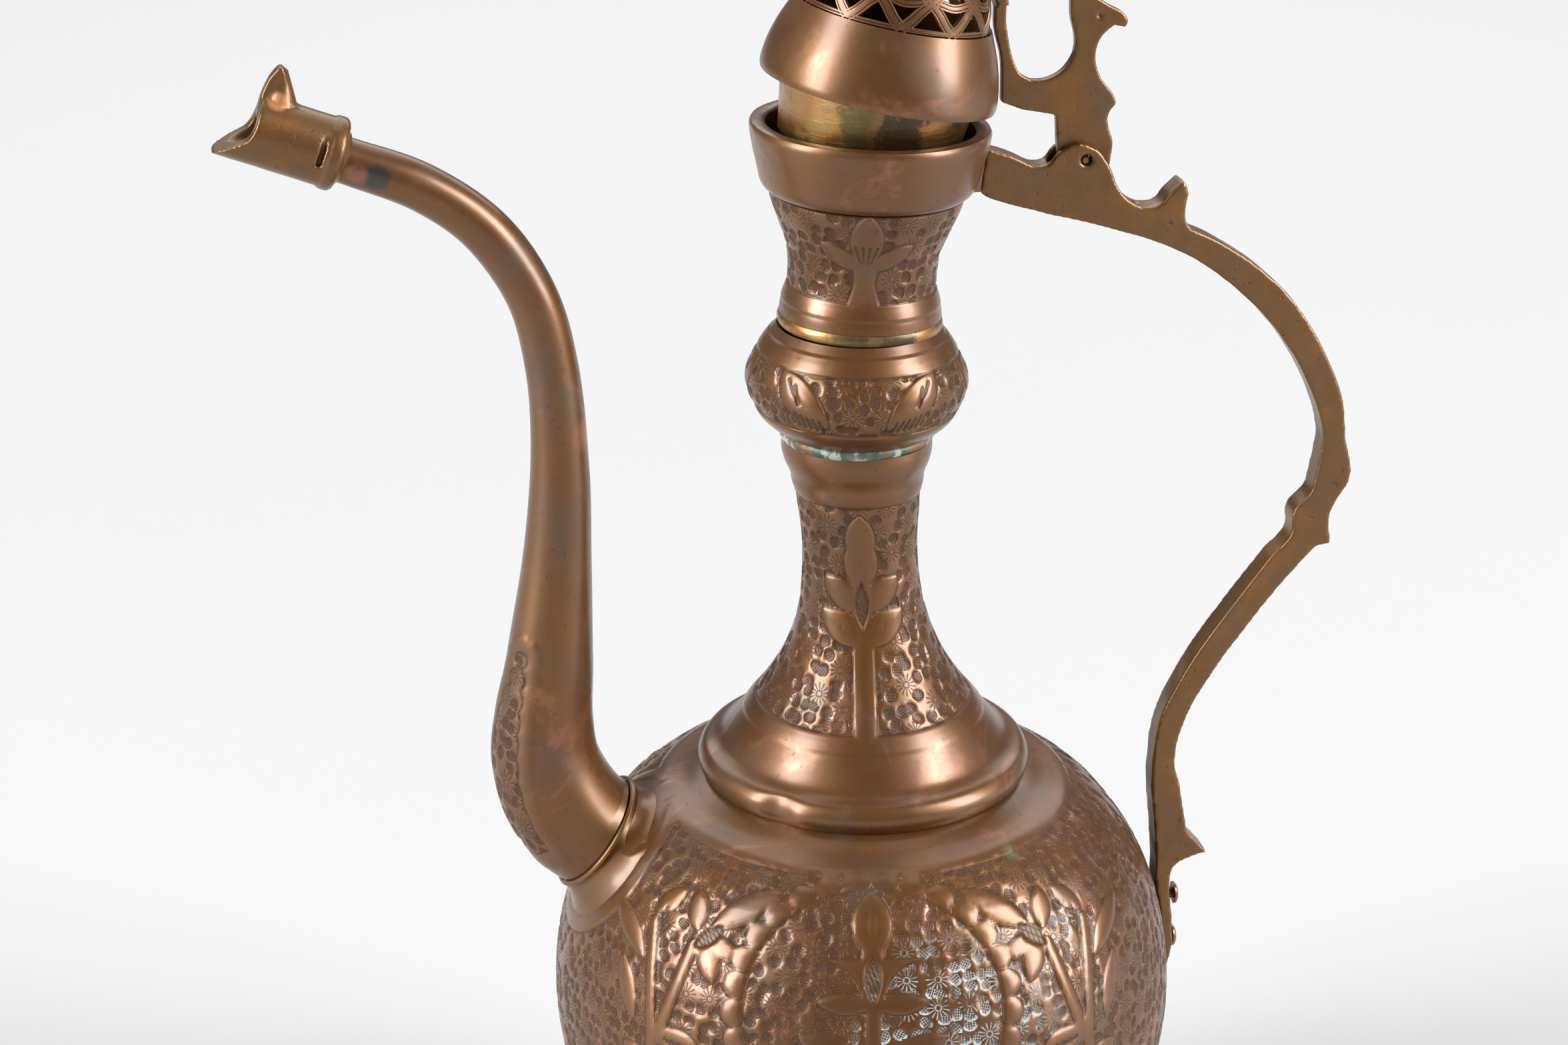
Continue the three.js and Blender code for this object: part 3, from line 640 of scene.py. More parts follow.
# ---------------------------------------------------------------- chasing
ROSETTE_GAP = 7.0  # the least distance between rosettes
ROSETTE_ROOM = 3.1  # no oval is punched nearer than this to a rosette
STAND, SWELL = 0.16, 0.20  # how far a motif stands up at its edge, and further in its middle
GROOVE, DIMPLE = 0.22, 0.34  # depths of a groove and of a punched oval


def leaf(p, start, tip, width):
    """Distance from a pointed leaf between two points; width is its full width."""
    a, b = np.array(start, float), np.array(tip, float)
    half = np.linalg.norm(b - a) / 2
    along = (b - a) / (2 * half)
    q = p - (a + b) / 2
    x, y = np.abs(q @ along), np.abs(q @ np.array([-along[1], along[0]]))
    w = width / 2
    radius = (half * half + w * w) / (2 * w)
    on_arc = np.hypot(x, y + radius - w) - radius
    past_tip = (y * half > (radius - w) * (x - half)) & (x > half)
    return np.where(past_tip, np.hypot(x - half, y), on_arc)


def bar(p, start, end, width_start, width_end):
    """Distance from a stem between two points whose width changes evenly."""
    a, b = np.array(start, float), np.array(end, float)
    t = np.clip(((p - a) @ (b - a)) / ((b - a) @ (b - a)), 0, 1)
    away = np.linalg.norm(p - (a + t[:, None] * (b - a)), axis=1)
    return away - (width_start + (width_end - width_start) * t) / 2


def nowhere(co):
    """A field that draws nothing."""
    return np.full(len(co), FAR)


def disc(p, centre, radius):
    return np.linalg.norm(p - np.array(centre, float), axis=1) - radius


def joined(*fields):
    return np.minimum.reduce(fields)


def both_sides(field):
    """A field drawn on the right, and mirrored to the left."""
    return lambda p: joined(field(p), field(p * [-1, 1]))


def punch_centres(line, rows, seed):
    """Centres of the punch marks on a turned surface: (points, kinds)."""
    random = np.random.default_rng(seed)
    s = lengths(line)
    points = []
    gap, sway, row = 3.7, 0.24, 0.92
    for at in np.arange(rows[0], rows[1], gap * row):
        r = np.interp(at, s, line[:, 0])
        count = max(6, int(round(math.tau * r / gap)))
        angle = (np.arange(count) + random.random() + random.uniform(-sway, sway, count)) * math.tau / count
        rise = at + random.uniform(-sway, sway, count) * gap
        radius, z = (np.interp(rise, s, line[:, i]) for i in (0, 1))
        points.append(np.stack([radius * np.cos(angle), radius * np.sin(angle), z], axis=1))
    points = np.vstack(points)
    order = random.permutation(len(points))
    tree = KDTree(len(points))
    for i, point in enumerate(points):
        tree.insert(point, i)
    tree.balance()
    kind = np.full(len(points), OVAL)
    for i in order:
        if not any(kind[j] == ROSETTE for _, j, _ in tree.find_range(points[i], ROSETTE_GAP)):
            kind[i] = ROSETTE
    keep = np.ones(len(points), bool)
    for i in np.flatnonzero(kind == ROSETTE):
        for _, j, _ in tree.find_range(points[i], ROSETTE_ROOM):
            keep[j] &= kind[j] == ROSETTE
    return points[keep], kind[keep]


def nearest_marks(where, centres, kinds):
    """The index of the punch mark that each point belongs to."""
    tree = KDTree(len(centres))
    for i, centre in enumerate(centres):
        tree.insert(centre, i)
    tree.balance()
    found = np.empty(len(where), int)
    bonus = kinds * 1.5  # a rosette is wider than an oval
    for n, point in enumerate(where):
        found[n] = min(tree.find_n(point, 4), key=lambda hit: hit[2] - bonus[hit[1]])[1]
    return found


def mark_axes(line, centres):
    """Unit vectors to the east and up the surface at each punch mark."""
    east = unit(np.stack([-centres[:, 1], centres[:, 0], np.zeros(len(centres))], axis=1))
    slope = unit(np.gradient(line, axis=0))
    order = np.argsort(line[:, 1])
    slope_r, slope_z = (np.interp(centres[:, 2], line[order, 1], slope[order, i]) for i in (0, 1))
    return east, np.concatenate([unit(centres[:, :2]) * slope_r[:, None], slope_z[:, None]], axis=1)


def outward(line, co, rise):
    """The outer line's normal at each point; rise is how far along the line the point lies."""
    slope = unit(np.gradient(line, axis=0))
    normal_r, normal_z = (np.interp(rise, lengths(line), slope[:, i]) for i in (1, 0))
    radial = co[:, :2] / np.maximum(from_axis(co), TINY)[:, None]
    return np.concatenate([radial * normal_r[:, None], -normal_z[:, None]], axis=1)


def relief(motif, stroke):
    """Motifs stand proud with a groove round each, and strokes are cut in."""
    lift = STAND * smoothstep(0.6, -0.3, motif) + SWELL * smoothstep(0.0, -2.4, motif) * (motif > 0.1 - FAR)
    lift -= GROOVE * np.exp(-(((motif - 0.35) / 0.35) ** 2))
    return lift - GROOVE * smoothstep(0.5, -0.1, stroke)


def dimples(co, motif, lens, centres, kinds):
    """Depth of the punched ovals and of the sunk lenses."""
    mine = nearest_marks(co, centres, kinds)
    away = np.linalg.norm(co - centres[mine], axis=1)
    depth = smoothstep(1.95, 1.2, away) * (kinds[mine] == OVAL) * (lens > 0.2)
    return DIMPLE * np.maximum(depth, smoothstep(0.1, -0.6, lens)) * smoothstep(0.1, 0.8, motif)


def face_corners(mesh):
    """(the point at each face corner, each face's number of corners, the face of each corner)."""
    corners = np.empty(len(mesh.loops), int)
    mesh.loops.foreach_get("vertex_index", corners)
    sizes = np.empty(len(mesh.polygons), int)
    mesh.polygons.foreach_get("loop_total", sizes)
    return corners, sizes, np.repeat(np.arange(len(sizes)), sizes)


def map_marks(mesh, co, worked, on_lens, centres, kinds, axes):
    """Writes the map "punch": where each corner lies on the punch mark of its face."""
    corners, sizes, face_of = face_corners(mesh)
    worked_face, lens_face = np.zeros((2, len(sizes)), bool)
    np.logical_or.at(worked_face, face_of, worked[corners])
    np.logical_or.at(lens_face, face_of, on_lens[corners])
    middle = np.zeros((len(sizes), 3))
    np.add.at(middle, face_of, co[corners])
    middle /= sizes[:, None]
    mark_of = np.zeros(len(sizes), int)
    mark_of[worked_face] = nearest_marks(middle[worked_face], centres, kinds)
    mark = mark_of[face_of]
    away = co[corners] - centres[mark]
    codes = np.where(lens_face[face_of], LENS, kinds[mark]), mark % 9
    places = [np.einsum("ij,ij->i", away, axis[mark]) + MARK_CODE * code for axis, code in zip(axes, codes)]
    layer = mesh.uv_layers.new(name="punch")
    layer.data.foreach_set("uv", np.stack(places, axis=1).ravel())


def chased(name, node, line, inner, segments, place, draw, seed, rows=None):
    """A sheet copper piece with a chased and punched outer face.

    draw(angle, height, co) gives the distances to the motifs, to single engraved strokes and to
    hatched lenses.
    """
    s = lengths(line)
    bm = spun(closed(line, inner), segments, [*s, *[WALL] * len(inner)])
    layer = bm.verts.layers.float["rise"]
    co = coordinates(bm)
    rise = np.array([v[layer] for v in bm.verts])
    outer = rise >= WALL / 2
    motif, stroke, lens = -nowhere(co), nowhere(co), nowhere(co)
    angle = np.arctan2(co[outer, 1], co[outer, 0])
    motif[outer], stroke[outer], lens[outer] = draw(angle, co[outer, 2], co[outer])
    motif, stroke = np.clip(motif, -FAR, FAR), np.clip(stroke, -FAR, FAR)

    centres, kinds = punch_centres(line, rows or (s[0], s[-1]), seed)
    lift = relief(motif, stroke)
    busy = np.flatnonzero(outer & (motif > 0.1))
    lift[busy] -= dimples(co[busy], motif[busy], lens[busy], centres, kinds)
    lift[~outer] = 0
    shaped = wobble(co + outward(line, co, rise) * lift[:, None], 0.22, seed)
    put(bm, place(shaped) * MM)
    mesh = show(name, bm, CHASED_COPPER, "jug", node, sharp=60).data

    mesh.attributes.remove(mesh.attributes["rise"])
    for label, values in (("motif", motif), ("stroke", stroke)):
        mesh.attributes.new(label, "FLOAT", "POINT").data.foreach_set("value", values.astype(np.float32))
    worked, on_lens = (motif > -0.2) & outer, (lens < 0.1) & outer
    map_marks(mesh, co, worked, on_lens, centres, kinds, mark_axes(line, centres))


def around(angle, centre):
    """Angle from a centre, wrapped to within half a turn."""
    return (angle - centre + math.pi) % math.tau - math.pi


def repeated(angle, count):
    """Angle from the nearest of count evenly spaced motifs, one of them at the front."""
    period = math.tau / count
    return (angle - FRONT + period / 2) % period - period / 2


# ---------------------------------------------------------------- body
def on_face(co, side, latitude):
    """Flat coordinates in millimetres, right and up, about a point of the round body."""
    ahead = unit(co - [0, 0, BODY_Z])
    level = math.cos(latitude)
    centre = np.array([level * math.cos(side), level * math.sin(side), math.sin(latitude)])
    east = np.array([-math.sin(side), math.cos(side), 0])
    north = np.cross(centre, east)
    x, y, z = ahead @ east, ahead @ north, np.clip(ahead @ centre, -1, 1)
    scale = np.arccos(z) / np.maximum(np.hypot(x, y), TINY) * BODY_R
    return np.stack([x * scale, y * scale], axis=1)


MEDALLION = {"ring": 33.3, "lobes": 30, "lobe_at": 35.4, "lobe": 3.65}
MEDALLION_TURN, MEDALLION_LATITUDE = math.radians(0.9), math.radians(21.4)


def medallion_flower(p):
    """The lily inside the ring: a bud, hollowed wings, three pairs of leaves and a stem."""
    bud = joined(leaf(p, (0, 32.8), (0, 14.6), 9.6), bar(p, (0, 17), (0, 3), 5.4, 3.4))
    hollow = both_sides(lambda q: disc(q, (13.4, 3.4), 10.9))
    x, y = np.abs(p[:, 0]), p[:, 1]
    wings = np.maximum.reduce([y - 14.4 - 0.03 * x, -hollow(p), 1 - y, x - 13])
    leaves = both_sides(lambda q: leaf(q, (0.5, 2.4), (13.9, 3.6), 5.4))
    low = both_sides(lambda q: leaf(q, (0.5, -14), (18.6, -5.2), 7.6))
    roots = both_sides(lambda q: leaf(q, (0, -30), (14, -21), 6))
    stem = bar(p, (0, 4), (0, -34), 3.2, 3.6)
    return joined(bud, wings, leaves(p), low(p), roots(p), stem)


def spray(q):
    """A five-petalled flower, side leaves and stems, to the right of the medallion."""
    petals = [
        leaf(q, (37, 24), (17, 34), 7.4), leaf(q, (41, 23), (40.5, 35), 5.8),
        leaf(q, (44.5, 35.4), (54.5, 28), 5.4), leaf(q, (39, 21), (36, 8.6), 6.2),
        leaf(q, (37, 22), (28.5, 14), 5),
    ]
    stems = [
        bar(q, (42, 19), (54, -8), 3.2, 3.4), bar(q, (55, 26), (56, -14), 2.4, 3.2),
        bar(q, (57, -12), (50, -34), 3, 3.4),
    ]
    leaves = [
        leaf(q, (58, 14), (70, 34), 6.6), leaf(q, (62, -4), (66, 16), 5.6),
        leaf(q, (54, -6), (39, -12), 8.5), leaf(q, (55, -20), (66, -10), 7),
        leaf(q, (52, -26), (40, -34), 7),
    ]
    return joined(*petals, *stems, *leaves)


def spray_lens(q):
    """The hatched lens in the middle of the spray's flower."""
    return leaf(q, (41.8, 18.4), (33.4, 24.4), 4.3)


def spray_strokes(q):
    """Short fronds cut beside the stem and on the low leaf."""
    fronds = []
    for k in range(4):
        fronds.append(bar(q, (53.4, 25.5 - 1.4 * k), (50.8 - 0.3 * k, 29.5 - 1.7 * k), 0.5, 0.2))
        fronds.append(bar(q, (51 - 2.2 * k, -7.4 - 0.6 * k), (48.6 - 2.2 * k, -9.2 - 0.6 * k), 0.8, 0.2))
    return joined(*fronds)


SPRAY_SHIFT = np.array([5.0, -1.5])
SOCKET_PLAIN = 25  # how far the plain sheet reaches round the spout's axis


def medallion_edge(p):
    """The lobed border round the medallion."""
    r = np.hypot(p[:, 0], p[:, 1])
    period = math.tau / MEDALLION["lobes"]
    turn = (np.arctan2(p[:, 1], p[:, 0]) + period / 2) % period - period / 2
    lobes = np.hypot(r * np.cos(turn) - MEDALLION["lobe_at"], r * np.sin(turn)) - MEDALLION["lobe"]
    return np.maximum(lobes, MEDALLION["ring"] - r)


def draw_body(angle, height, co):
    """A medallion and two sprays on the front and on the back; the rim, foot and socket stay plain."""
    motif, stroke, lens = (nowhere(co) for _ in range(3))
    ring = MEDALLION["ring"]
    for side in (FRONT + MEDALLION_TURN, -FRONT):
        p = on_face(co, side, MEDALLION_LATITUDE)
        r = np.hypot(p[:, 0], p[:, 1])
        flower = np.maximum(np.where(r < ring, medallion_flower(p), FAR), r - ring + 0.2)
        sides = [p - SPRAY_SHIFT, p * [-1, 1] - SPRAY_SHIFT]
        sprays = np.where(r > ring + 5.4, joined(*[spray(q) for q in sides]), FAR)
        motif = joined(motif, medallion_edge(p), flower, sprays)
        stroke = joined(stroke, *[spray_strokes(q) for q in sides])
        hatched = joined(leaf(p, (0, 15), (0, 3.2), 4.3), *[spray_lens(q) for q in sides])
        motif = np.where(hatched < 0.6, np.maximum(motif, 0.1 - hatched), motif)
        lens = joined(lens, hatched)
    plain_top = np.where(height > 150, (from_axis(co) - 54.6) * 1.1, FAR)
    plain_foot = np.where(height < 60, (height - 50) * 1.2, FAR)
    socket = np.linalg.norm(np.cross(co - SPOUT_JOINT, SPOUT_AXIS), axis=1) - SOCKET_PLAIN
    motif = joined(motif, plain_top, plain_foot, np.where(co[:, 0] < 0, socket, FAR))
    return motif, stroke, lens


def settled(co):
    """The shoulder has sunk a little below the round of the body."""
    radius = from_axis(co)
    moved = co.copy()
    moved[:, 2] -= 1.7 * smoothstep(80.5, 62, radius) * smoothstep(41, 48, radius) * (co[:, 2] > BODY_Z)
    return moved


def dented(co, point, depth, reach):
    """Pushes the surface near a point in towards the axis."""
    away = np.linalg.norm(co - np.array(point, float), axis=1)
    push = depth * np.exp(-((away / reach) ** 2))
    radius = np.maximum(from_axis(co), TINY)
    moved = co.copy()
    moved[:, :2] *= (1 - push / radius)[:, None]
    return moved


SHOULDER_LATITUDE, BOTTOM_LATITUDE = 38, -72
SHOULDER_TOP = [(60.5, 156.8), (54.4, 160.8), (47.5, 163.2), (40.4, 164.4)]
SEAM_GAP = 0.05  # degrees from the seam to each half


def make_body():
    round_part = arc(BODY_R, BODY_Z, SEAM_LATITUDE + SEAM_GAP, SHOULDER_LATITUDE, 0.8)
    top = smooth_line([round_part[-1], *SHOULDER_TOP], 1.2)
    line, inner = sheet_profile(np.vstack([round_part, top[1:]]))
    chased("shoulder", "body_shoulder", line, inner, 640, settled, draw_body, 3)
    line, inner = sheet_profile(arc(BODY_R, BODY_Z, BOTTOM_LATITUDE, SEAM_LATITUDE - SEAM_GAP, 1.05))
    chased("bowl", "body_bowl", line, inner, 512, straight, draw_body, 4)
    line, inner = sheet_profile(arc(BODY_R, BODY_Z, -90, BOTTOM_LATITUDE, 2.0), coarse=3)
    line[0][0] = inner[-1][0] = 0
    turned("bowl_bottom", closed(line, inner), 128, SHEET_COPPER, straight, "jug", uneven=0)


# ---------------------------------------------------------------- neck
def unrolled(angle, height, co, count):
    """Flat coordinates, right and up, about the nearest of count motifs round a neck."""
    return np.stack([repeated(angle, count) * from_axis(co), height], axis=1)


def draw_lower_neck(angle, height, co):
    """A tall bud over two cups, with a hatched lozenge between them."""
    p = unrolled(angle, height, co, 2)
    bud = joined(leaf(p, (0, 239.9), (0, 226), 7.2), leaf(p, (0, 234), (0, 219.5), 8.2))
    cup = both_sides(lambda q: np.maximum(leaf(q, (0.5, 214), (9.6, 222.9), 7), q[:, 1] - 222.6))
    bowl = both_sides(lambda q: np.maximum(leaf(q, (0.5, 205.5), (10.8, 214.5), 8), q[:, 1] - 213.8))
    stem = bar(p, (0, 224), (0, 183), 4.4, 5.8)
    motif = joined(bud, cup(p), bowl(p), stem)
    lozenge = leaf(p, (0, 221.6), (0, 209.6), 3.8)
    motif = np.where(lozenge < 0.6, np.maximum(motif, 0.1 - lozenge), motif)
    return joined(motif, 242 - height, height - 184.9), nowhere(co), lozenge


def draw_upper_neck(angle, height, co):
    """A fluted bud and two leaves on a vase."""
    p = unrolled(angle, height, co, 2)
    bud = leaf(p, (0, 320.2), (0, 306.5), 7.8)
    leaves = both_sides(lambda q: leaf(q, (0.4, 305), (11.8, 311.6), 4.6))
    vase = joined(bar(p, (0, 307), (0, 301.5), 6.4, 4.6), bar(p, (0, 301.5), (0, 295), 4.6, 8.2))
    motif = joined(bud, leaves(p), vase)
    flutes = joined(*[bar(p, (k * 1.7, 311.4), (k * 0.75, 306.8), 0.35, 0.1) for k in (-1.5, -0.5, 0.5, 1.5)])
    return joined(motif, 320 - height, height - 296.2), flutes, nowhere(co)


def draw_knop(angle, height, co):
    """Pairs of birds that face each other, with fluted tails."""
    p = np.stack([np.abs(repeated(angle, 3)) * 26.5, height], axis=1)
    bird = joined(leaf(p, (7.2, 266.6), (21.6, 279.2), 8.4), leaf(p, (8.6, 265.4), (18, 268.4), 4.6))
    cuts = [bar(p, (16.2, 274.4), (18.8, 277.6), 0.5, 0.4), bar(p, (14.8, 272.2), (16.4, 276.6), 0.5, 0.4)]
    for k in range(6):
        cuts.append(bar(p, (8.4 + 1.5 * k, 265.9 + 0.25 * k), (9.4 + 1.6 * k, 268.6 + 0.3 * k), 0.55, 0.35))
    return joined(bird, 279.6 - height, height - 264.6), joined(*cuts), nowhere(co)


NECK_FOOT = [
    (41.8, 164.6), (42.9, 166.6), (42.8, 169), (41.3, 171.2), (38.9, 172.2), (36.9, 173.5), (33.6, 177.4),
    (28.4, 184.4), (21.2, 195.8), (16.3, 209.5), (14.7, 226), (15.8, 241.5),
]
NECK_CUP = [(15.8, 241.5), (16.9, 247), (18.4, 250.8), (19, 253.6), (18.9, 256.2)]
KNOP = [(19.6, 258.7), (21.6, 260.4), (25.4, 264.4), (27.6, 271), (26.2, 277.4), (22.6, 282.8), (20.3, 285.8)]
THROAT = [
    (20.2, 288.9), (19.9, 291.2), (18.6, 296.6), (19.1, 305.5), (21.4, 312), (23.6, 317.5), (24.4, 320.2),
]
DENT = (42.9 * math.cos(FRONT - 0.55), 42.9 * math.sin(FRONT - 0.55), 168.6)


def dented_neck(co):
    return leaning(dented(co, DENT, 1.5, 4.8))


def make_neck():
    line, inner = sheet_profile(np.vstack([smooth_line(NECK_FOOT, 0.6), smooth_line(NECK_CUP, 0.8)[1:]]))
    chased("trumpet_neck", "lower_neck", line, inner, 288, dented_neck, draw_lower_neck, 5, (16, 92))
    line, inner = sheet_profile(smooth_line(KNOP, 0.45))
    chased("knop", "neck_knop", line, inner, 360, on_knop, draw_knop, 6)
    line, inner = sheet_profile(smooth_line(THROAT, 0.45))
    chased("throat", "upper_neck", line, inner, 300, on_neck_top, draw_upper_neck, 7)


def make_collar():
    outside = [(25.1, 320.7), (26.3, 322), (27.3, 325.6), (28.5, 330.2), (29.4, 334.6), (29.5, 336.3)]
    lip = [(29.1, 337), (28.6, 337.2), (26.6, 337.2), (26.1, 337), (25.6, 336.4)]
    inside = [(25.6, 334), (26.3, 330), (25.6, 326), (24.6, 323), (23.6, 320.7)]
    collar = [*smooth_line(outside, 1.2), *smooth_line(lip, 0.6), *smooth_line(inside, 2)]
    turned("collar", collar, 144, SHEET_COPPER, on_neck_top, "jug", "mouth_collar", uneven=0.35)


def make_neck_solder():
    for name, radius, low, high, metal, place, node in (
        ("lower_solder", 19.5, 256.1, 258.8, SOLDER, leaning, "lower_neck_solder"),
        ("upper_solder", 20.6, 285.7, 289, SHEET_BRASS, on_neck_top, "upper_neck_solder"),
    ):
        back, front = radius - 1.6, radius - 0.3
        bead = [(back, low), (front, low), (radius + 0.15, (low + high) / 2), (front, high), (back, high)]
        turned(name, rounded(bead, 0.7), 180, metal, place, "jug", node, uneven=0.5)


# ---------------------------------------------------------------- foot
def make_foot():
    rim = rounded([(39.6, 0), (42.8, 0), (43, 1.6), (42.6, 3.4), (41.6, 3.9), (39.6, 3.4)], 1.2)
    turned("foot_rim_bead", rim, 144, DARK_COPPER, straight, "jug", "foot_rim", uneven=0)
    turned("base_plate", [(0, 0), (39.2, 0), (39.2, 1.2), (0, 1.2)], 96, DARK_COPPER, straight, "jug",
           "foot_base_plate", uneven=0)
    foot = smooth_line([(41, 5.2), (37.6, 7.6), (31.2, 12.5), (28, 18.5), (29, 24.6)], 1)
    profile = closed(*sheet_profile(foot, coarse=3))
    turned("foot_pedestal", profile, 144, SHEET_COPPER, straight, "jug", "pedestal_foot")
    turned("foot_joint", rounded([(29.3, 22.6), (30.4, 23.6), (31.6, 25.6), (29.4, 24.9)], 0.5), 120, SOLDER,
           straight, "jug", "foot_solder", uneven=0.3)


# ---------------------------------------------------------------- spout
SPOUT = Route([
    (-70.5, 150.2), (-74.4, 153.3), (-79.9, 161.2), (-83.3, 172), (-83.5, 184), (-81.7, 200), (-79.2, 226),
    (-77.7, 253), (-79.2, 279.7), (-83.6, 297.8), (-94, 314.5), (-108.5, 325.9), (-127.6, 334.1),
])
SPOUT_RADII = [  # (share of the spout's length, radius)
    (0, 15), (0.07, 14.9), (0.13, 13.6), (0.2, 12), (0.28, 10.5), (0.36, 9), (0.45, 7.8), (0.55, 6.8),
    (0.66, 6.35), (0.8, 6.1), (0.92, 5.7), (1, 5.5),
]


def draw_spout(angle, height, co):
    """A scalloped panel on the outer side of the spout's foot."""
    p = np.stack([around(angle, math.pi + 0.62) * from_axis(co), height], axis=1)
    panel = joined(*[disc(p, (0.6 * k - 4, 12 + 5.6 * k), 9.5 - 0.9 * k) for k in range(9)])
    return np.minimum(-panel, height - 9), nowhere(co), nowhere(co)


def make_spout():
    radii = smooth_line([(r, t * SPOUT.length) for t, r in SPOUT_RADII], 0.9)
    radii[0][1], radii[-1][1] = 0.9, SPOUT.length - 0.6
    line, inner = sheet_profile(radii)
    chased("spout", "spout_tube", line, inner, 120, SPOUT.bend, draw_spout, 8, (4, 70))


# ---------------------------------------------------------------- cast pieces
def outline(*runs):
    """A closed outline of runs; each run is smooth and starts where the one before it ends."""
    points = [runs[0][0]]
    for run in runs[1:]:
        line = smooth_line([points[-1], *run], 0.8) if len(run) > 1 else [points[-1], run[0]]
        points.extend(tuple(p) for p in line[1:])
    return points


def plate(points, thickness):
    """A flat plate of an XZ outline, centred on Y = 0."""
    bm = bmesh.new()
    face = bm.faces.new([bm.verts.new((x, -thickness / 2, z)) for x, z in points])
    made = bmesh.ops.extrude_face_region(bm, geom=[face])
    moved = [g for g in made["geom"] if isinstance(g, bmesh.types.BMVert)]
    bmesh.ops.translate(bm, verts=moved, vec=(0, thickness, 0))
    bmesh.ops.triangulate(bm, faces=bm.faces)
    bmesh.ops.recalc_face_normals(bm, faces=bm.faces)
    return bm


def cone(start, end, length, matrix, segments):
    bm = bmesh.new()
    bmesh.ops.create_cone(
        bm, cap_ends=True, segments=segments, radius1=start, radius2=end, depth=length, matrix=matrix,
    )
    return bm


def rod(radius, length, matrix, segments=40):
    return cone(radius, radius, length, matrix, segments)


def box(size, matrix):
    bm = bmesh.new()
    bmesh.ops.create_cube(bm, size=1, matrix=matrix @ Matrix.Diagonal((*size, 1)))
    return bm


def as_object(bm, name):
    mesh = bpy.data.meshes.new(name)
    bm.to_mesh(mesh)
    bm.free()
    made = bpy.data.objects.new(name, mesh)
    bpy.context.scene.collection.objects.link(made)
    return made


def combined(base, name, steps):
    """Adds a boolean modifier to base for each (bmesh, operation): the tool objects."""
    tools = []
    for i, (bm, operation) in enumerate(steps):
        tool = as_object(bm, f"{name}_tool_{i}")
        step = base.modifiers.new("join", "BOOLEAN")
        step.object, step.operation, step.solver = tool, operation, "EXACT"
        tools.append(tool)
    return tools


def taken(base, tools):
    """The bmesh of base with its modifiers applied; base and the tools are removed."""
    mesh = bpy.data.meshes.new_from_object(base.evaluated_get(bpy.context.evaluated_depsgraph_get()))
    for made in (*tools, base):
        bpy.data.objects.remove(made)
    bm = bmesh.new()
    bm.from_mesh(mesh)
    bpy.data.meshes.remove(mesh)
    return bm


def cast(name, solids, cuts, voxel, smoothing, material, body, *nodes, uneven=0.12):
    """Joins solids, cuts holes, and rounds everything off as an old casting is rounded."""
    base = as_object(solids[0], name + "_0")
    steps = [(bm, "UNION") for bm in solids[1:]] + [(bm, "DIFFERENCE") for bm in cuts]
    tools = combined(base, name, steps)
    remesh = base.modifiers.new("skin", "REMESH")
    remesh.mode, remesh.voxel_size, remesh.use_smooth_shade = "VOXEL", voxel, True
    soften = base.modifiers.new("soften", "SMOOTH")
    soften.factor, soften.iterations = 0.5, smoothing
    bm = taken(base, tools)
    bm.normal_update()
    for vert in bm.verts:
        bumps = noise.noise(vert.co / 5), noise.noise(vert.co / 17)
        vert.co += vert.normal * uneven * bumps[0] + vert.normal * uneven * bumps[1]
        vert.co *= MM
    return show(name, bm, material, body, *nodes, sharp=80)


ALONG_X, ALONG_Y = (Matrix.Rotation(math.pi / 2, 4, axis) for axis in "YX")


def hole_at(x, z, radius, length=30):
    return rod(radius, length, Matrix.Translation((x, 0, z)) @ ALONG_Y)


def arc_about(centre, radius, start, end, count):
    """Points of an arc in the XZ plane; start and end are in half turns."""
    x, z = centre
    angles = np.linspace(math.pi * start, math.pi * end, count)
    return [(x + radius * math.cos(a), z + radius * math.sin(a)) for a in angles]


PIN_HOLE = 1.55  # radius of the hole through the ears and the arm


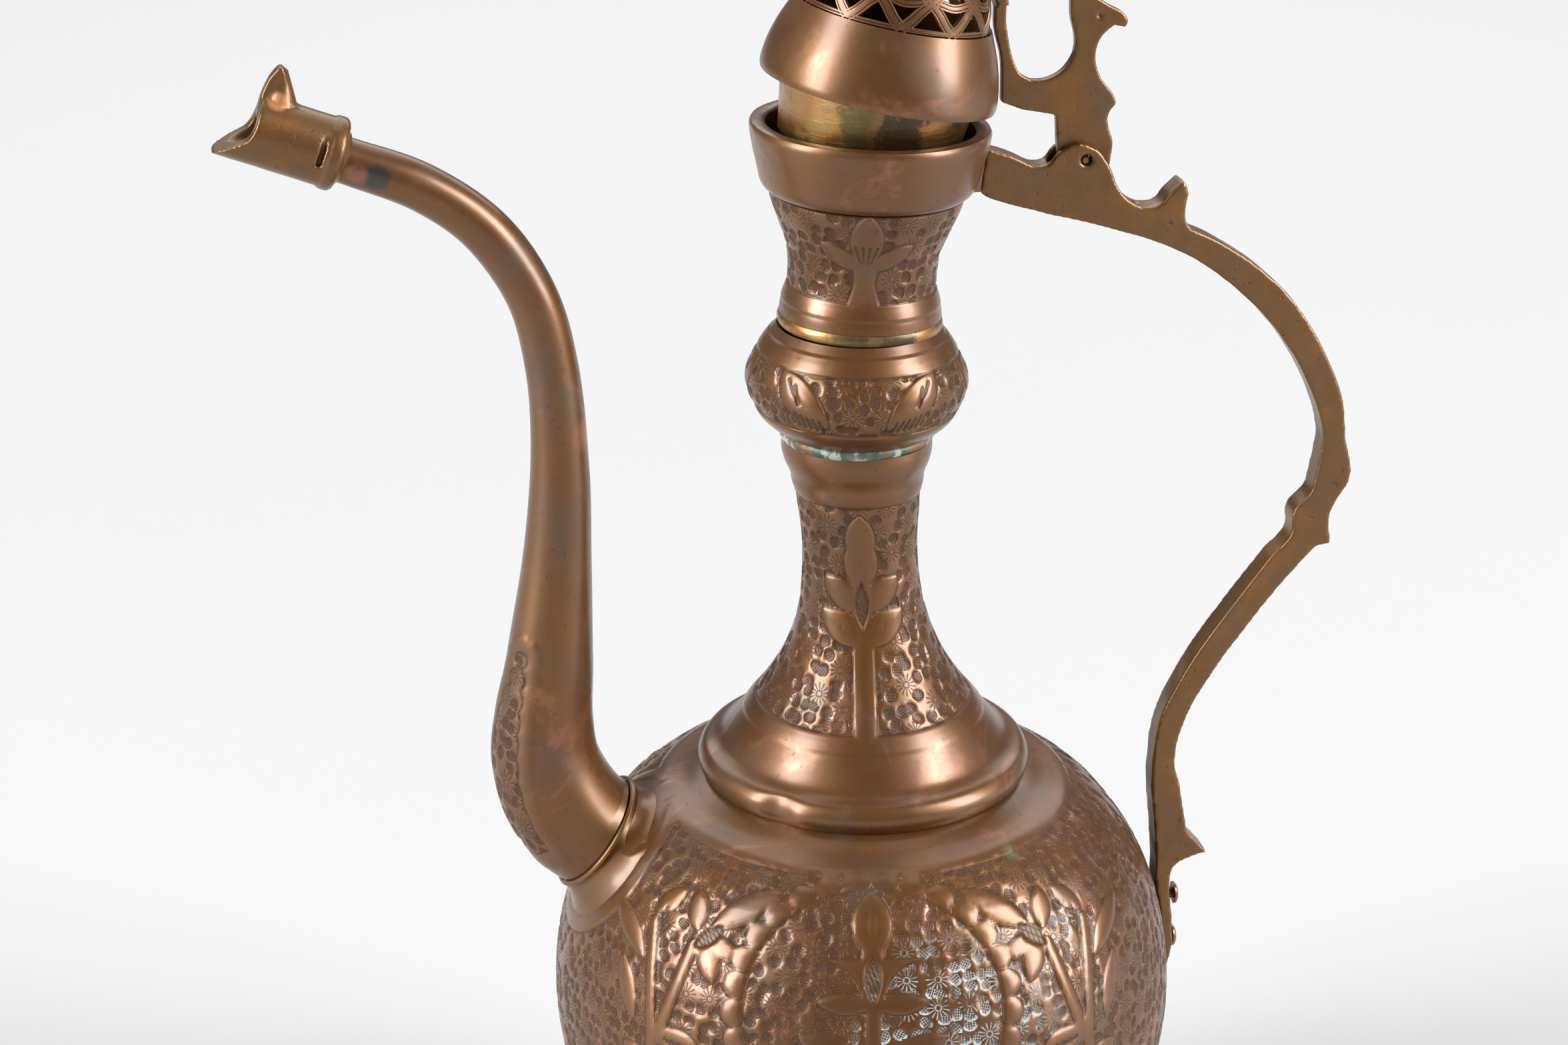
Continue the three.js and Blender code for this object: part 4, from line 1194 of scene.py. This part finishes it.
def make_handle():
    """The handle: a scroll with a spur, cut with a slot between its ears for the hinge arm."""
    bar_outline = outline(
        [(28.9, 329.8)],
        [(36.1, 327.2), (40.6, 325), (44.2, 325), (47.4, 328.4), (52.4, 330), (57.3, 328)],
        [(60.2, 323.4), (62.4, 318.3), (65.6, 314.7), (69.3, 312.9), (73.2, 313.2), (75.8, 316.2)],
        [(79.2, 319.2)],
        [(80.4, 316.4), (79.9, 309.9), (81.6, 306.6)],
        [(89.4, 302.8), (101.3, 294.4), (110.1, 285.4), (118.5, 272.1), (124.2, 258.7), (126, 247)],
        [(127.8, 239.6), (127.2, 235.6), (124.6, 231.4), (122.6, 226.6), (123.4, 219)],
        [(119.4, 218.2)],
        [(112.4, 210.4), (102.4, 197.5), (93.2, 184.3), (86.4, 170.9), (84, 159.5), (85.6, 152.4)],
        [(87.4, 142.6), (88.6, 137.4), (91.4, 134.2)],
        [(94.4, 130.9)],
        [(89.4, 129.6), (85.3, 127.2), (84.3, 122), (85.2, 113), (85.8, 103), (84.6, 97)],
        [(82.7, 97.4)],
        [(82.7, 102.5), (82.2, 110), (81.3, 117.5), (80.5, 122), (80.3, 128.7)],
        [(79.4, 140), (78, 155), (79.8, 171.6), (85.9, 185.1), (94.4, 198.3), (106.9, 215.5)],
        [(112.6, 222), (113, 228.6), (117.3, 233.4), (118.4, 238), (119.8, 248.4)],
        [(118.4, 254.8), (112.4, 268.2), (102.9, 281.6), (88.2, 295.1), (74.9, 302.8), (56.1, 309.4)],
        [(41.9, 313.2), (29.1, 317.6), (27.4, 318.8)],
    )
    x, z = HINGE
    reach = 8.6
    floor = arc_about(HINGE, reach, 1.04, 1.6, 16)
    slot = [(38, 335), (41.5, 327), (x - reach, z - 1), *floor, (68, 311.5), (72, 335)]
    cuts = [plate(slot, 3.5), hole_at(x, z, PIN_HOLE)]
    cast("handle_bar", [plate(bar_outline, 7.4)], cuts, 0.6, 3, CAST_BRASS, "jug", "handle")


def on_lid_xz(pairs):
    """Points of the lid's own XZ plane where the resting lid has them."""
    placed = [ON_LID @ Vector((radius, 0, z)) for radius, z in pairs]
    return [(point.x, point.z) for point in placed]


STRAP_INNER = [(9, 42.4), (13.4, 40), (18.2, 35.8), (22, 30.4), (24, 24.4), (25.3, 19)]
STRAP_OUTER = [(28, 20.4), (26.8, 25.6), (24.4, 32.2), (20, 38.4), (14.6, 42.8), (9.8, 45)]
ARM_HEEL = (31, 1.4)


def make_arm():
    """The hinge arm: a perched bird whose tail runs up the dome as a strap."""
    tang = arc_about(HINGE, 6.8, 1.02, 2, 20)
    bird = outline(
        on_lid_xz([ARM_HEEL]),
        [(38, 338.7)], [(46.5, 337)], [(47.2, 327)], *[[p] for p in tang],
        [(61.1, 329.6), (60, 333), (59.6, 335.8), (60.3, 337.6)],
        [(61.7, 339.2)],
        [(60.9, 341.4), (57.4, 346.2), (56, 351), (57.2, 355.8), (60.4, 358.9)],
        [(63.2, 358.2)],
        [(63.9, 359.6), (62.4, 361.9), (59.2, 363.7), (56.6, 365.3), (54, 366.2), (51.8, 366.4)],
        [(49.8, 369.4)],
        [(49.4, 365), (49.6, 361), (50.8, 356), (50.4, 351.8), (47.6, 347.8), (43.6, 346), (40, 346)],
        [(37.2, 347.8), *on_lid_xz([(31.5, 12.4), *STRAP_OUTER])],
        on_lid_xz(STRAP_INNER[:1]),
        on_lid_xz([*STRAP_INNER[1:], (28.3, 12.4), (30.2, 5.2), ARM_HEEL]),
    )
    pad = on_lid_xz([*STRAP_INNER[:5], *STRAP_OUTER[1:]])
    eyes = [rod(0.65, 1.2, Matrix.Translation((56.6, side * 1.45, 361.4)) @ ALONG_Y, 16) for side in (-1, 1)]
    cast("bird_arm", [plate(bird[:-1], 2.9), plate(pad, 8)], [hole_at(*HINGE, PIN_HOLE), *eyes], 0.42, 3,
         CAST_BRASS, "lid", "hinge_arm", uneven=0.07)


# ---------------------------------------------------------------- head
HEAD_AXIS = Vector((-0.934, 0, 0.357)).normalized()
HEAD_UP = Vector((0.357, 0, 0.934)).normalized()
HEAD = Matrix.Translation((-127.6, 0, 334.1)) @ Matrix(
    (HEAD_AXIS, HEAD_UP.cross(HEAD_AXIS), HEAD_UP)).transposed().to_4x4()


def make_barrel():
    """The head's barrel with its mouth cut away."""
    base = as_object(rod(8.6, 30, Matrix.Translation((15.6, 0, 0.7)) @ ALONG_X, 64), "head_barrel")
    keep = plate(outline(
        [(0.6, -9.4)], [(30.4, -9.4)], [(29.6, -7.0)], [(26, -3.6), (23, -0.6), (22.2, 3), (22.6, 9.8)],
        [(0.6, 9.8)],
    ), 24)
    return taken(base, combined(base, "head_barrel", [(keep, "INTERSECT")]))


def make_head():
    """The animal head that ends the spout: a barrel with a cut-away mouth, a horn and slit ears."""
    horn = plate(outline(
        [(9.5, 5)],
        [(12.6, 8.6), (16.4, 10.7), (18.3, 14.4), (20.3, 17.2), (21.9, 14.6), (22.8, 9), (22.4, 4)],
        [(16, 2)],
    ), 4.6)
    tilted_back = Matrix.Rotation(math.radians(14), 4, "Y")
    stub = cone(5, 1.2, 11.6, Matrix.Translation((18.4, 0, 10.9)) @ tilted_back, 32)
    collar = rod(9.1, 2.4, Matrix.Translation((2.6, 0, 0.7)) @ ALONG_X, 64)
    neck = cone(5.9, 7.9, 2.4, Matrix.Translation((0.5, 0, 0.3)) @ ALONG_X, 48)
    head = [make_barrel(), collar, neck, horn, stub]
    bore, socket = rod(4.2, 60, ALONG_X), rod(5.2, 6.4, ALONG_X)
    slits = [box((1.3, 2.6, 9), Matrix.Translation((5.8, side * 8.3, 2.6))) for side in (-1, 1)]
    cuts = [bore, socket, *slits]
    for bm in (*head, *cuts):
        bmesh.ops.transform(bm, matrix=HEAD, verts=bm.verts)
    cast("animal_head", head, cuts, 0.42, 4, CAST_BRASS, "jug", "spout_head", uneven=0.06)


# ---------------------------------------------------------------- joints
FLANGE = {"reach": 25.5, "neck": 15.4, "bore": 13.7, "top": 0.3, "skin": 0.55, "wall": 1.2, "flare": 3.2}


def flare(rho):
    """How far the flange has left the body towards the spout: 0 at its rim, 1 at its neck."""
    reach, neck = FLANGE["reach"], FLANGE["neck"]
    return np.clip((reach - rho) / (reach - neck), 0, 1) ** FLANGE["flare"]


def lowered(world, loose):
    """Keeps the flange's rim under the shoulder's profile; loose is 1 at the rim, 0 at the neck."""
    roof = np.interp(from_axis(world), *np.transpose([*SHOULDER_TOP[::-1], (66, 152)]))
    height = world[:, 2]
    sink = 2.2 * smoothstep(148, 158, height)
    moved = world.copy()
    moved[:, 2] -= np.maximum(height - roof + sink, 0) * loose * smoothstep(146, 152, height)
    return moved


def make_flange(place, axis):
    """The socket where the spout enters the body; its rim lies on the sheet."""
    centre = Vector((0, 0, BODY_Z)) - Vector(SPOUT_JOINT)
    along = centre.dot(axis)

    def depth(rho):
        skin = along - np.sqrt(BODY_R**2 - rho**2) + FLANGE["skin"]
        return skin * (1 - flare(rho)) + FLANGE["top"] * flare(rho)

    rho = np.linspace(FLANGE["reach"], FLANGE["neck"], 22)
    outer = np.stack([rho, depth(rho)], axis=1)
    inner = np.stack([rho[::-4], depth(rho[::-4]) + FLANGE["wall"]], axis=1)
    bore, top = FLANGE["bore"], FLANGE["top"]
    bm = spun([*map(tuple, outer), (bore, top), (bore, 1.6), *map(tuple, inner)], 128)
    co = coordinates(bm)
    rho = from_axis(co)
    loose = 1 - flare(rho)
    world = by_matrix(place)(co * [1, 1, 0])
    side = world - [0, 0, BODY_Z]
    ahead = side @ np.array(axis)
    actual = -ahead - np.sqrt(np.maximum(ahead**2 - (side**2).sum(axis=1) + BODY_R**2, 0))
    level = along - np.sqrt(BODY_R**2 - rho**2)
    world = world + np.array(axis) * (co[:, 2] + (actual - level) * loose)[:, None]
    world = lowered(world + (settled(world) - world) * loose[:, None], loose)
    put(bm, world * MM)
    show("spout_flange", bm, SHEET_COPPER, "jug", "spout_socket")


def make_joints():
    """The spout's flange and ring, and the metals of the parts that the frame already shows."""
    axis = Vector(SPOUT_AXIS).normalized()
    turn = Vector((0, 0, 1)).rotation_difference(axis).to_matrix().to_4x4()
    place = Matrix.Translation(SPOUT_JOINT) @ turn
    make_flange(place, axis)
    ring = rounded([(15.4, -1.1), (16.2, -0.8), (16.5, 0), (15.7, 0.2), (15.4, 0)], 0.3)
    turned("spout_ring", ring, 96, CAST_BRASS, by_matrix(place), "jug", "spout_joint_ring")
    for node, metal in (("handle_lug_solder", DARK_COPPER), ("seam_strip", SOLDER)):
        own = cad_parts[node].data.materials
        own.clear()
        own.append(metal)


# ---------------------------------------------------------------- rivets and pin
def rivet(name, start, axis, length, node, place, body):
    """A rivet from a start point inside the sheet, with a flat inner head and a domed outer one."""
    shaft, inner, outer = 1.5, 2.4, 3
    head = [(0, 0), (inner, 0), (inner, 1.2), (shaft, 1.2), (shaft, length)]
    cap = [(outer, 0), (2.9, 0.5), (2.2, 1.0), (1.2, 1.25), (0, 1.3)]
    turn = Matrix.Translation(start) @ Vector((0, 0, 1)).rotation_difference(axis).to_matrix().to_4x4()
    profile = [*head, *[(r, length + z) for r, z in cap]]
    turned(name, profile, 32, CAST_BRASS, by_matrix(place @ turn), body, node, uneven=0.1)


def make_fittings():
    """Two rivets through the handle's tail, two through the arm's strap, and the hinge pin."""
    below = SHEET + 2.7
    for i, z in enumerate((117.5, 104.5)):
        start = Vector((math.sqrt(BODY_R**2 - (z - BODY_Z) ** 2) - below, 0, z))
        length = 86.3 - start.x
        rivet(f"tail_rivet_{i + 1}", start, Vector((1, 0, 0)), length, f"handle_rivet_{i + 1}",
              Matrix.Identity(4), "jug")
    for i, (radius, z, tilt) in enumerate(((20.9, 29.5, 0.53), (12.8, 38.8, 1.0))):
        axis = Vector((math.cos(tilt), 0, math.sin(tilt)))
        start = Vector((radius, 0, z)) - axis * below
        rivet(f"lid_rivet_{i + 1}", start, axis, below + 4.9, f"strap_rivet_{i + 1}", ON_LID, "lid")
    place = Matrix.Translation((HINGE[0], 0, HINGE[1] - 0.3)) @ ALONG_Y
    pin = [(0, -2.8), (0.75, -2.8), (0.9, -2.6), (0.9, 2.6), (0.75, 2.8), (0, 2.8)]
    turned("pin", pin, 32, CAST_BRASS, by_matrix(place), "jug", "hinge_pin", uneven=0)


# ---------------------------------------------------------------- lid
DOME = smooth_line(
    [(23.6, 19.4), (22.9, 24), (20.9, 29.5), (17.4, 34.5), (12.8, 38.8), (7.8, 41.8), (2.6, 43)], 0.25,
)
DOME_S = lengths(DOME)
DOME_ROWS = [0.3, 7.0, 13.8, 20.2, 26.6]  # how far up the dome the straps cross
STRAP_COUNT, STRAP_WIDTH, STRAP_THICK = 11, 2.75, 1.15


def on_dome(turn, s):
    """(point, outward normal) of the dome at an angle and a distance up its side."""
    r, z = (np.interp(s, DOME_S, DOME[:, i]) for i in (0, 1))
    slope = np.gradient(DOME, axis=0)
    dr, dz = (np.interp(s, DOME_S, slope[:, i]) for i in (0, 1))
    size = np.hypot(dr, dz)
    point = np.stack([r * np.cos(turn), r * np.sin(turn), z], axis=1)
    normal = np.stack([dz / size * np.cos(turn), dz / size * np.sin(turn), -dr / size], axis=1)
    return point, normal


def strap(bm, turn, s, lift, width):
    """One flat strap along a line on the dome, with an engraved line near each edge."""
    point, normal = on_dome(turn, s)
    along = unit(np.gradient(point, axis=0))
    side = np.cross(normal, along)
    rings = []
    for p, n, q, half in zip(point, normal, side, np.broadcast_to(width, len(s)) / 2):
        section = [
            (-half, -STRAP_THICK), (-half, -0.14), (-half + 0.12, 0), (-half + 0.4, 0), (-half + 0.54, -0.2),
            (-half + 0.68, 0), (0, 0.03),
        ]
        section += [(-x, y) for x, y in reversed(section[:-1])]
        rings.append([bm.verts.new(p + q * x + n * (y + lift)) for x, y in section])
    for a, b in zip(rings, rings[1:]):
        for i in range(len(section)):
            j = (i + 1) % len(section)
            bm.faces.new((a[i], a[j], b[j], b[i]))
    bm.faces.new(rings[0][::-1])
    bm.faces.new(rings[-1])


def make_dome():
    """Straps that lean left and right and cross in rows, with rings along the rows, under a plain cap."""
    bm = bmesh.new()
    pitch = math.tau / STRAP_COUNT
    rows = np.linspace(0, len(DOME_ROWS) - 1, 64)
    rise = smooth_line(list(enumerate(DOME_ROWS)), 0.5)
    s = np.interp(rows, rise[:, 0], rise[:, 1])
    width = STRAP_WIDTH * np.linspace(1, 0.62, len(rows))
    sway = 0.010 * np.sin(rows * math.tau)
    for i in range(STRAP_COUNT):
        for way in (-1, 1):
            strap(bm, pitch * i + way * (pitch / 2 * rows + sway), s, 0.02 * way, width)
    ring_turn = np.linspace(0, math.tau, 23 * 8 + 1)
    rings = ((0, -0.03, 1.2, 0), (1, -0.05, 2.1, 0.55), (2, -0.05, 1.9, 0.55), (4, 0.04, 3.2, 0))
    for k, lift, wide, arch in rings:
        waves = arch * np.cos(ring_turn * STRAP_COUNT + (k % 2) * math.pi)
        strap(bm, ring_turn, DOME_ROWS[k] + waves, lift, wide)
    bmesh.ops.recalc_face_normals(bm, faces=bm.faces)
    put(bm, on_lid(coordinates(bm)) * MM)
    show("pierced_dome", bm, DARK_COPPER, "lid", "lid_dome", sharp=24)
    cap = closed(*sheet_profile(DOME[DOME_S > DOME_S[-1] - 5.6], coarse=4))
    turned("dome_cap", cap, 72, DARK_COPPER, on_lid, "lid", uneven=0)


def make_lid():
    """The sleeve that enters the mouth, the band over it, and the dome."""
    band = smooth_line([(29.2, 0.2), (29.4, 1.2), (29.35, 2.6), (28.8, 6.4), (27.4, 11.6), (24.4, 19)], 0.7)
    profile = closed(*sheet_profile(band, coarse=4))
    turned("lid_rim_band", profile, 160, SHEET_COPPER, on_lid, "lid", "lid_band", uneven=0.5)
    sleeve = rounded([(20.9, -14), (22, -14), (24.2, 0.7), (27.4, 0.7), (27.4, 1.8), (23.1, 1.8)], 0.3)
    turned("sleeve", sleeve, 144, SHEET_BRASS, on_lid, "lid", "lid_sleeve", uneven=0.3)
    make_dome()
    make_finial()


def make_finial():
    """A small cast knob on a washer, held by a nut inside the dome."""
    foot = smooth_line([(2, 46.2), (3.4, 46.4), (4.4, 47.6), (3.2, 49.4)], 0.4)
    knob = smooth_line([(2.6, 51), (5.6, 53.6), (7.2, 57.6), (5.8, 61.6), (3, 64.6), (1.6, 68)], 0.5)
    finial = [(0, 38.2), (2, 38.2), (2, 46.2), *foot[1:], *knob, (0.8, 68.8), (0, 69)]
    turned("finial_knob", finial, 64, CAST_BRASS, on_lid, "lid", "finial", uneven=0.15)
    washer = rounded([(2.3, 43.4), (7, 43.4), (6.6, 44.8), (4.2, 46), (2.3, 46)], 0.4)
    turned("washer", washer, 64, SHEET_COPPER, on_lid, "lid", "finial_washer", uneven=0.1)
    nut = rounded([(2.3, 38.6), (5, 38.6), (5, 40.3), (2.3, 40.3)], 0.2)
    turned("nut", nut, 6, SHEET_BRASS, on_lid, "lid", "finial_nut", uneven=0)


# ---------------------------------------------------------------- stage
def make_stage():
    """A plain pale floor that glows faintly, so that its far end stays pale."""
    bm = bmesh.new()
    bmesh.ops.create_grid(bm, x_segments=1, y_segments=1, size=9)
    paint = Paint("floor", {"Emission Color": (1, 1, 1, 1), "Emission Strength": 0.05})
    tone = paint.mix(paint.cloud(400, 2), (0.44, 0.44, 0.445), (0.45, 0.45, 0.45))
    floor = as_object(bm, "floor")
    floor.data.materials.append(paint.finish(tone, 0.7, 0.0, paint.cloud(3, 2) * 0.02))


def lamp(name, azimuth, elevation, distance, size, power, aim=(0, 0, 0.24)):
    """A soft panel; azimuth is measured from the camera's side, positive to the right."""
    a, e = FRONT + math.radians(azimuth), math.radians(elevation)
    back = Vector((math.cos(a) * math.cos(e), math.sin(a) * math.cos(e), math.sin(e)))
    data = bpy.data.lights.new(name, "AREA")
    data.shape, data.size, data.size_y, data.energy = "RECTANGLE", size[0], size[1], power
    made = bpy.data.objects.new(name, data)
    made.location = Vector(aim) + back * distance
    made.rotation_mode = "QUATERNION"
    made.rotation_quaternion = back.to_track_quat("Z", "Y")
    bpy.context.scene.collection.objects.link(made)


def make_world():
    """White to the camera, and dim to everything else."""
    world = bpy.data.worlds.new("studio")
    bpy.context.scene.world = world
    world.use_nodes = True
    tree = world.node_tree
    tree.nodes.clear()
    seen, lit = (tree.nodes.new("ShaderNodeBackground") for _ in range(2))
    seen.inputs["Color"].default_value = (0.855, 0.857, 0.86, 1)
    lit.inputs["Color"].default_value = (1, 1, 1, 1)
    lit.inputs["Strength"].default_value = 0.12
    mix = tree.nodes.new("ShaderNodeMixShader")
    rays = tree.nodes.new("ShaderNodeLightPath")
    out = tree.nodes.new("ShaderNodeOutputWorld")
    for i, source in enumerate((rays.outputs["Is Camera Ray"], lit.outputs[0], seen.outputs[0])):
        tree.links.new(source, mix.inputs[i])
    tree.links.new(mix.outputs[0], out.inputs["Surface"])


def make_light():
    make_world()
    lamp("left_panel", -66, 24, 2.6, (1.0, 2.0), 120)
    lamp("right_panel", 72, 24, 2.6, (1.0, 2.0), 120)
    lamp("top_panel", 180, 68, 2.8, (2.0, 2.0), 26)
    lamp("floor_panel", 180, 89, 1.5, (3.4, 1.6), 44, aim=(0.35, 2.0, 0))


def make_camera():
    data = bpy.data.cameras.new("camera")
    data.sensor_width, data.lens = 36, 76.53
    data.clip_start, data.clip_end = 0.05, 40
    camera = bpy.data.objects.new("camera", data)
    camera.location = (-0.15724, -0.77254, 0.55042)
    camera.rotation_mode = "QUATERNION"
    back = Vector((-0.16100379, -0.91309785, 0.37460659))
    camera.rotation_quaternion = (-back).to_track_quat("-Z", "Y")
    bpy.context.scene.collection.objects.link(camera)
    bpy.context.scene.camera = camera
    bpy.context.scene.view_settings.view_transform = "Standard"


make_camera()
make_light()
make_stage()
make_foot()
make_body()
make_neck()
make_collar()
make_neck_solder()
make_spout()
make_head()
make_joints()
make_handle()
make_arm()
make_fittings()
make_lid()
